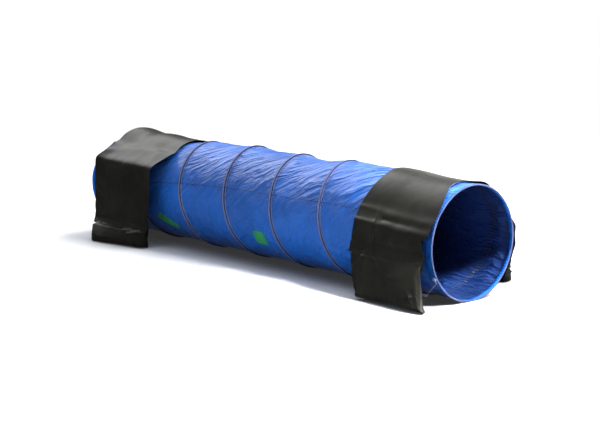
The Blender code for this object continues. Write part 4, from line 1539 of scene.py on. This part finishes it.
def plain_section(saddle, shares):
    """(out, height) of the whole section at each share, rounded, and before that."""
    sharp, smooth = [], []
    for share in shares:
        front = half_section(saddle.front, share)
        back = half_section(saddle.back, share)
        section = np.concatenate([front * (-1, 1), back[::-1][1:]])
        sharp.append(section)
        section = section.copy()
        for _ in range(saddle.rounding):
            section[1:-1] = (section[:-2] + 2 * section[1:-1] + section[2:]) / 4
        smooth.append(section)
    return np.array(smooth), np.array(sharp)


def roof_relief(saddle, section, share):
    """How far the roof of the cover stands out, and its one lifted corner."""
    roof = smooth_share(section[..., 1], (0.42, 0.58))
    if saddle is FAR_SADDLE:
        return RIM_LIFT * roof * smooth_share(1 - share, (0.72, 0.92))
    out, reach, rise = LIFTED_CORNER
    lifted = np.exp(-((section[..., 0] - out) / reach) ** 2) * share ** 5
    return ROOF_LOFT * roof + rise * lifted * (section[..., 1] > AXIS_HEIGHT)


def saddle_grid(saddle):
    """World points of the sheet's inner face, with the share across at each."""
    shares = np.linspace(0, 1, SHEET_ACROSS + 1)
    section, sharp = plain_section(saddle, shares)
    run = np.gradient(section, axis=1)
    run /= np.linalg.norm(run, axis=-1, keepdims=True)
    normal = np.stack([-run[..., 1], run[..., 0]], axis=-1)
    share = np.broadcast_to(shares[:, None], sharp.shape[:2])
    middle = sharp.shape[1] // 2
    relief, drift = np.zeros(share.shape), np.zeros(share.shape)
    for side, part in ((saddle.front, slice(0, middle + 1)),
                       (saddle.back, slice(middle, None))):
        out, up = section[:, part, 0], section[:, part, 1]
        across = share[:, part]
        clear = smooth_share(np.hypot(out, up - AXIS_HEIGHT) - HEM_OUTER, (0.0, 0.012))
        at_floor = smooth_share(up, (0.0, 0.03))
        under_flap = 1 - 0.8 * np.exp(-((up - side.seam_up) / 0.030) ** 2)
        hidden = np.where(up < side.seam_up, 0.12, 1.0)
        raised = flank_relief(saddle, side, across, up) * (0.18 + 0.82 * clear)
        relief[:, part] = raised * at_floor * under_flap * hidden
        drift[:, part] = drift_at(side, up) + edge_shift(saddle, side, across, up)
        if saddle is FAR_SADDLE:
            x = saddle.crown_x + drift[:, part] + (across - 0.5) * SADDLE_WIDTH
            between = wire_share(x, np.arctan2(up - AXIS_HEIGHT, out))
            dip = smooth_share(between, (0.04, 0.38))
            dip = dip * smooth_share(1 - between, (0.04, 0.38))
            relief[:, part] -= COVER_DIP * dip * (1 - clear)
    relief += roof_relief(saddle, section, share)
    section = section + normal * relief[..., None]
    across, up = section[..., 0], section[..., 1]
    places = np.stack([share * 0, sharp[..., 1], across], axis=-1)
    edge_wave = 0.004 * lattice_noise(places, 0.06, 81) * np.abs(2 * share - 1) ** 8
    seams = np.where(across < 0, saddle.front.seam_up, saddle.back.seam_up)
    tuck = FOOT_TUCK * (1 - smooth_share(up, (0.0, seams)))
    x = (MID_X + saddle.crown_x + drift + (share - 0.5) * (SADDLE_WIDTH - tuck)
         + edge_wave)
    height = pressed(x - MID_X, np.maximum(up, 0.0))
    return np.stack([x, across, height], axis=-1), share


def build_sheet(saddle, material):
    spots, share = saddle_grid(saddle)
    arc = np.concatenate([np.zeros((len(spots), 1)), np.cumsum(
        np.linalg.norm(np.diff(spots, axis=1), axis=-1), axis=1)], axis=1)
    uvs = np.stack([share * SADDLE_WIDTH, arc], axis=-1)
    mesh = reworked(mesh_of_grid(saddle.name + "_cover", spots, uvs), merge_doubles)
    obj = add_piece(saddle.name + "_cover", turn_out(mesh), material)
    wall(obj, SHEET_THICKNESS, offset=1)
    smoothed(obj)
    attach(obj, saddle.name)
    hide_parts(saddle.name + "_sheet")
    return obj


def pocket_outline(side, share):
    """(out, height) round the pocket, from its seam to the sheet's foot."""
    toe = toe_out(side, share) - POCKET_INSET
    base = SHEET_THICKNESS + CLEARANCE
    top = float(wall_out(side, share, side.seam_up, base))
    foot = float(wall_out(side, share, 0.0, base))
    spots = [(top, side.seam_up - 0.002),
             (top + (toe - top) * 0.20, side.seam_up - FLAP_BELOW)]
    spots += [(top + (toe - top) * reach, side.seam_up * share_up)
              for reach, share_up in ((0.45, 0.70), (0.70, 0.45), (0.90, 0.22))]
    spots += [(toe, TOE_RADIUS), (toe - TOE_RADIUS, 0.001)]
    span = 5
    spots += [(toe - TOE_RADIUS + (foot - toe + TOE_RADIUS) * i / span, 0.001)
              for i in range(1, span + 1)]
    for i in range(1, 6):
        height = side.seam_up * i / 6
        spots.append((float(wall_out(side, share, height, base)), height))
    return spots


def swell_pocket(obj, swell):
    """Cloth under light pressure, with no point moving further than the swell."""
    start = points_of(obj)
    cloth = obj.modifiers.new("swell", "CLOTH")
    cloth.settings.use_pressure = True
    cloth.settings.uniform_pressure_force = 4
    cloth.settings.effector_weights.gravity = 0
    cloth.settings.tension_stiffness = 15
    cloth.settings.compression_stiffness = 15
    cloth.settings.bending_stiffness = 0.5
    scene = bpy.context.scene
    for step in range(1, SWELL_FRAMES + 1):
        scene.frame_set(step)
    settle(obj)
    scene.frame_set(1)
    away = points_of(obj) - start
    length = np.linalg.norm(away, axis=1, keepdims=True)
    move_points(obj, start + away * np.minimum(1, swell / np.maximum(length, 1e-9)))


def pocket_middle(saddle, side, height):
    """Where the pocket's middle lies along the tunnel at a height."""
    rate = (side.seam_drift - side.toe_drift) / side.seam_up
    return MID_X + saddle.crown_x + side.toe_drift + rate * height


def build_pocket(saddle, side, material):
    name = f"{saddle.name}_{side.name}_bag"
    loops = []
    for share in np.linspace(0, 1, POCKET_ACROSS + 1):
        end = 1 - abs(2 * share - 1) ** 6 * 0.10
        loop = []
        for out, height in pocket_outline(side, share):
            base = float(wall_out(side, share, height, SHEET_THICKNESS + CLEARANCE))
            x = pocket_middle(saddle, side, height)
            x += (share - 0.5) * (SADDLE_WIDTH - 2 * POCKET_INSET)
            x += float(edge_shift(saddle, side, share, height))
            loop.append((x, side.sign * (base + (out - base) * end), height))
        loops.append(loop)
    mesh = mesh_of_grid(name, np.array(loops), close_columns=True)
    obj = add_piece(name, reworked(mesh, fill_ends), material)
    remesh = obj.modifiers.new("even", "REMESH")
    remesh.mode = "VOXEL"
    remesh.voxel_size = POCKET_VOXEL
    settle(obj)
    swell_pocket(obj, POCKET_SWELL)
    press_pocket(obj, saddle, side)
    smoothed(obj)
    obj.data.shade_smooth()
    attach(obj, saddle.name)
    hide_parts(f"{saddle.name}_{side.name}_pocket",
                f"{saddle.name}_{side.name}_sand")
    return obj


def press_pocket(obj, saddle, side):
    """Creases, sand swells and edges on a pocket, kept off the sheet and the floor."""
    spots = points_of(obj)
    out, height = side.sign * spots[:, 1], spots[:, 2]
    middle = pocket_middle(saddle, side, height)
    ends = [middle + (s - 0.5) * SADDLE_WIDTH + edge_shift(saddle, side, s, height)
            for s in (0, 1)]
    share = np.clip((spots[:, 0] - ends[0]) / (ends[1] - ends[0]), 0, 1)
    base = np.array([float(wall_out(side, s, h, SHEET_THICKNESS + CLEARANCE))
                     for s, h in zip(share, height)])
    face = smooth_share(out - base, (0.004, 0.030))
    relief = flank_relief(saddle, side, share, height)
    top = 1 - smooth_share(height, (side.seam_up - 0.02, side.seam_up))
    out = out + (relief - 0.0060) * face * top
    seam = np.exp(-((height - 0.010) / 0.005) ** 2) * face
    out = out - 0.003 * seam * np.sin(share * SADDLE_WIDTH / 0.028 * TURN)
    spots[:, 1] = side.sign * np.maximum(out, base)
    spots[:, 2] = np.clip(height, 0.0, side.seam_up)
    move_points(obj, spots)


def build_flap(saddle, side, material, thread, sizes):
    """The strip that closes the pocket's top, sewn down along its upper edge."""
    name = f"{saddle.name}_{side.name}_strip"
    rows = []
    base = SHEET_THICKNESS + 3 * CLEARANCE
    stitch_rows = [[], []]
    for share in np.linspace(0, 1, FLAP_ACROSS + 1):
        toe = toe_out(side, share)
        seam_face = float(wall_out(side, share, side.seam_up, base))
        low_out = seam_face + (toe - seam_face) * FLAP_REACH
        low_up = side.seam_up - FLAP_BELOW
        row = []
        for i in range(FLAP_ROWS + 1):
            t = i / FLAP_ROWS
            if t < FLAP_TOP_SHARE:
                height = side.seam_up + FLAP_ABOVE * (1 - t / FLAP_TOP_SHARE)
                out = float(wall_out(side, share, height, base))
            else:
                s = (t - FLAP_TOP_SHARE) / (1 - FLAP_TOP_SHARE)
                height = side.seam_up + (low_up - side.seam_up) * s
                out = seam_face + (low_out - seam_face) * s ** 1.15
            relief = float(flank_relief(saddle, side, np.array(share), np.array(height)))
            ripple = 0.0012 * math.sin(share * 43 + 2.0 * math.sin(share * 9)) * t
            out += max(0.0012, relief * 0.45) + ripple * 0.5 + 0.0022 * t
            x = (MID_X + saddle.crown_x + float(drift_at(side, height))
                 + (share - 0.5) * (SADDLE_WIDTH + 0.002)
                 + float(edge_shift(saddle, side, share, height)))
            row.append((x, side.sign * out, height))
            if i in (1, 4):
                stitch_rows[i == 4].append((x, side.sign * (out + 0.0016), height))
        rows.append(row)
    mesh = reworked(mesh_of_grid(name, np.array(rows)), lambda bm: None)
    if mesh.polygons[0].normal.y * side.sign < 0:
        mesh.flip_normals()
    obj = add_piece(name, mesh, material)
    wall(obj, FLAP_THICKNESS, offset=1)
    smoothed(obj)
    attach(obj, saddle.name)
    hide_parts(f"{saddle.name}_{side.name}_flap")
    sewn = stitches(name + "_stitches", stitch_rows, thread, sizes, 0.0010)
    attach(sewn, saddle.name)
    return obj


def build_saddle(saddle, sizes, colours):
    material = bpy.data.materials.get("coated_bag_sheet") or bag_finish(colours)
    thread = thread_finish("bag_thread", shade(colours.bags, 2.2))
    build_sheet(saddle, material)
    for side in (saddle.front, saddle.back):
        build_pocket(saddle, side, material)
        build_flap(saddle, side, material, thread, sizes)


# --- The stage ---


def aim(obj, place, target):
    obj.location = place
    obj.rotation_mode = "QUATERNION"
    obj.rotation_quaternion = (Vector(target) - Vector(place)).to_track_quat("-Z", "Y")


def build_floor():
    """White to the camera far out, softly shaded near the object."""
    reach = FLOOR_REACH
    mesh = bpy.data.meshes.new("floor")
    mesh.from_pydata([(-reach, -reach, 0), (reach, -reach, 0), (reach, reach, 0),
                      (-reach, reach, 0)], [], [(0, 1, 2, 3)])
    floor = put("floor", mesh)
    finish = Finish("floor_white")
    away = Value(finish, finish.get("ShaderNodeVectorMath", {0: finish.place}, "Value",
                                    operation="LENGTH"))
    share = away.rise(2.2, 5.5) * (1 - FLOOR_GLOW) + FLOOR_GLOW
    nearby = Value(finish, finish.get(
        "ShaderNodeAmbientOcclusion", {"Distance": CONTACT_REACH}, "AO", samples=8))
    colour = finish.blend(nearby.rise(0.20, 0.95), FLOOR_SHADED, FLOOR_OPEN)
    finish.feed(Base_Color=colour, Roughness=0.9, Specular_IOR_Level=0.1)
    paths = finish.node("ShaderNodeLightPath").outputs
    glow = finish.get("ShaderNodeEmission", {"Color": WHITE, "Strength": 1.0})
    seen = Value(finish, paths["Is Camera Ray"])
    mixed = finish.get("ShaderNodeMixShader", {
        0: seen * share, 1: finish.surface.outputs[0], 2: glow})
    dim = finish.get("ShaderNodeEmission", {"Strength": 0.05})
    mirrored = finish.get("ShaderNodeMixShader", {
        0: paths["Is Glossy Ray"], 1: mixed, 2: dim})
    finish.plug(finish.tree.nodes["Material Output"].inputs["Surface"], mirrored)
    mesh.materials.append(finish.material)


def build_world():
    """White to the camera, a soft sky for the light and a dimmer one in reflections."""
    world = bpy.data.worlds.new("studio")
    bpy.context.scene.world = world
    world.use_nodes = True
    studio = NodeTree(world.node_tree)
    soft = studio.tree.nodes["Background"]
    studio.plug(soft.inputs["Color"], SKY)
    studio.plug(soft.inputs["Strength"], SKY_LIGHT)
    dim = studio.get("ShaderNodeBackground", {"Color": SKY, "Strength": SKY_MIRRORED})
    white = studio.get("ShaderNodeBackground", {"Color": WHITE})
    paths = studio.node("ShaderNodeLightPath").outputs
    dark = studio.get("ShaderNodeMixShader", {
        0: paths["Is Glossy Ray"], 1: soft.outputs[0], 2: dim})
    mix = studio.get("ShaderNodeMixShader", {
        0: paths["Is Camera Ray"], 1: dark, 2: white})
    studio.plug(studio.tree.nodes["World Output"].inputs["Surface"], mix)


def build_lamps():
    for name, place, target, size, power in LAMPS:
        data = bpy.data.lights.new(name, "AREA")
        data.shape = "DISK"
        data.size = size
        data.energy = power
        if name == "mouth_lamp":
            data.spread = MOUTH_SPREAD
        lamp = put(name, data)
        aim(lamp, place, target)
        lamp.visible_camera = False
        lamp.visible_glossy = name != "front_lamp"


def build_stage():
    scene = bpy.context.scene
    scene.view_settings.view_transform = "Standard"
    data = bpy.data.cameras.new("camera")
    data.lens = CAMERA_LENS
    data.sensor_width = SENSOR_WIDTH
    scene.camera = put("camera", data)
    aim(scene.camera, CAMERA_PLACE, CAMERA_TARGET)
    build_floor()
    build_world()
    build_lamps()


# --- Operators ---


def settings():
    scene = bpy.context.scene
    return scene.tunnel_sizes, scene.tunnel_finishes


class OBJECT_OT_tunnel_stage(bpy.types.Operator):
    """Set the camera, the white floor and the soft lamps"""

    bl_idname = "object.tunnel_stage"
    bl_label = "Stage"

    def execute(self, context):
        build_stage()
        return {"FINISHED"}


class OBJECT_OT_tunnel_cord(bpy.types.Operator):
    """Build the tie cord with its knot, toggle and tab"""

    bl_idname = "object.tunnel_cord"
    bl_label = "Cord"

    def execute(self, context):
        build_cord(settings()[1])
        return {"FINISHED"}


class OBJECT_OT_tunnel_wire(bpy.types.Operator):
    """Build the spring-steel spiral"""

    bl_idname = "object.tunnel_wire"
    bl_label = "Wire"

    def execute(self, context):
        build_wire()
        return {"FINISHED"}


class OBJECT_OT_tunnel_skin(bpy.types.Operator):
    """Build the skin with its wrinkles and its long seam"""

    bl_idname = "object.tunnel_skin"
    bl_label = "Skin"

    def execute(self, context):
        build_skin(*settings())
        build_seam(*settings())
        return {"FINISHED"}


class OBJECT_OT_tunnel_piping(bpy.types.Operator):
    """Build the gathered tape over the wire and its stitches"""

    bl_idname = "object.tunnel_piping"
    bl_label = "Piping"

    def execute(self, context):
        build_piping(*settings())
        return {"FINISHED"}


class OBJECT_OT_tunnel_hems(bpy.types.Operator):
    """Build the folded bands round the two mouths"""

    bl_idname = "object.tunnel_hems"
    bl_label = "Hems"

    def execute(self, context):
        sizes, colours = settings()
        material = hem_finish(colours)
        build_hem("near_band", "near_hem", "near_end", 1, sizes, colours, material)
        build_hem("far_band", "far_hem", "far_end", -1, sizes, colours, material)
        return {"FINISHED"}


class OBJECT_OT_tunnel_saddles(bpy.types.Operator):
    """Build the two saddle bags with their pockets and strips"""

    bl_idname = "object.tunnel_saddles"
    bl_label = "Saddle bags"

    def execute(self, context):
        for saddle in (NEAR_SADDLE, FAR_SADDLE):
            build_saddle(saddle, *settings())
        return {"FINISHED"}


OPERATORS = (
    OBJECT_OT_tunnel_stage,
    OBJECT_OT_tunnel_cord,
    OBJECT_OT_tunnel_wire,
    OBJECT_OT_tunnel_piping,
    OBJECT_OT_tunnel_skin,
    OBJECT_OT_tunnel_hems,
    OBJECT_OT_tunnel_saddles,
)


class VIEW3D_PT_tunnel(bpy.types.Panel):
    """Buttons and settings of the tunnel"""

    bl_label = "Agility tunnel"
    bl_space_type = "VIEW_3D"
    bl_region_type = "UI"
    bl_category = "Tunnel"

    def draw(self, context):
        layout = self.layout
        for group in (context.scene.tunnel_sizes, context.scene.tunnel_finishes):
            box = layout.box()
            for key in group.bl_rna.properties.keys():
                if key not in ("rna_type", "name"):
                    box.prop(group, key)
        for operator in OPERATORS:
            layout.operator(operator.bl_idname)


CLASSES = (TunnelSizes, TunnelFinishes, *OPERATORS, VIEW3D_PT_tunnel)


def register():
    for item in CLASSES:
        bpy.utils.register_class(item)
    bpy.types.Scene.tunnel_sizes = PointerProperty(type=TunnelSizes)
    bpy.types.Scene.tunnel_finishes = PointerProperty(type=TunnelFinishes)


def unregister():
    del bpy.types.Scene.tunnel_sizes
    del bpy.types.Scene.tunnel_finishes
    for item in reversed(CLASSES):
        bpy.utils.unregister_class(item)


def main():
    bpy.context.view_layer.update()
    register()
    for operator in OPERATORS:
        group, name = operator.bl_idname.split(".")
        getattr(getattr(bpy.ops, group), name)()


if __name__ == "__main__":
    main()
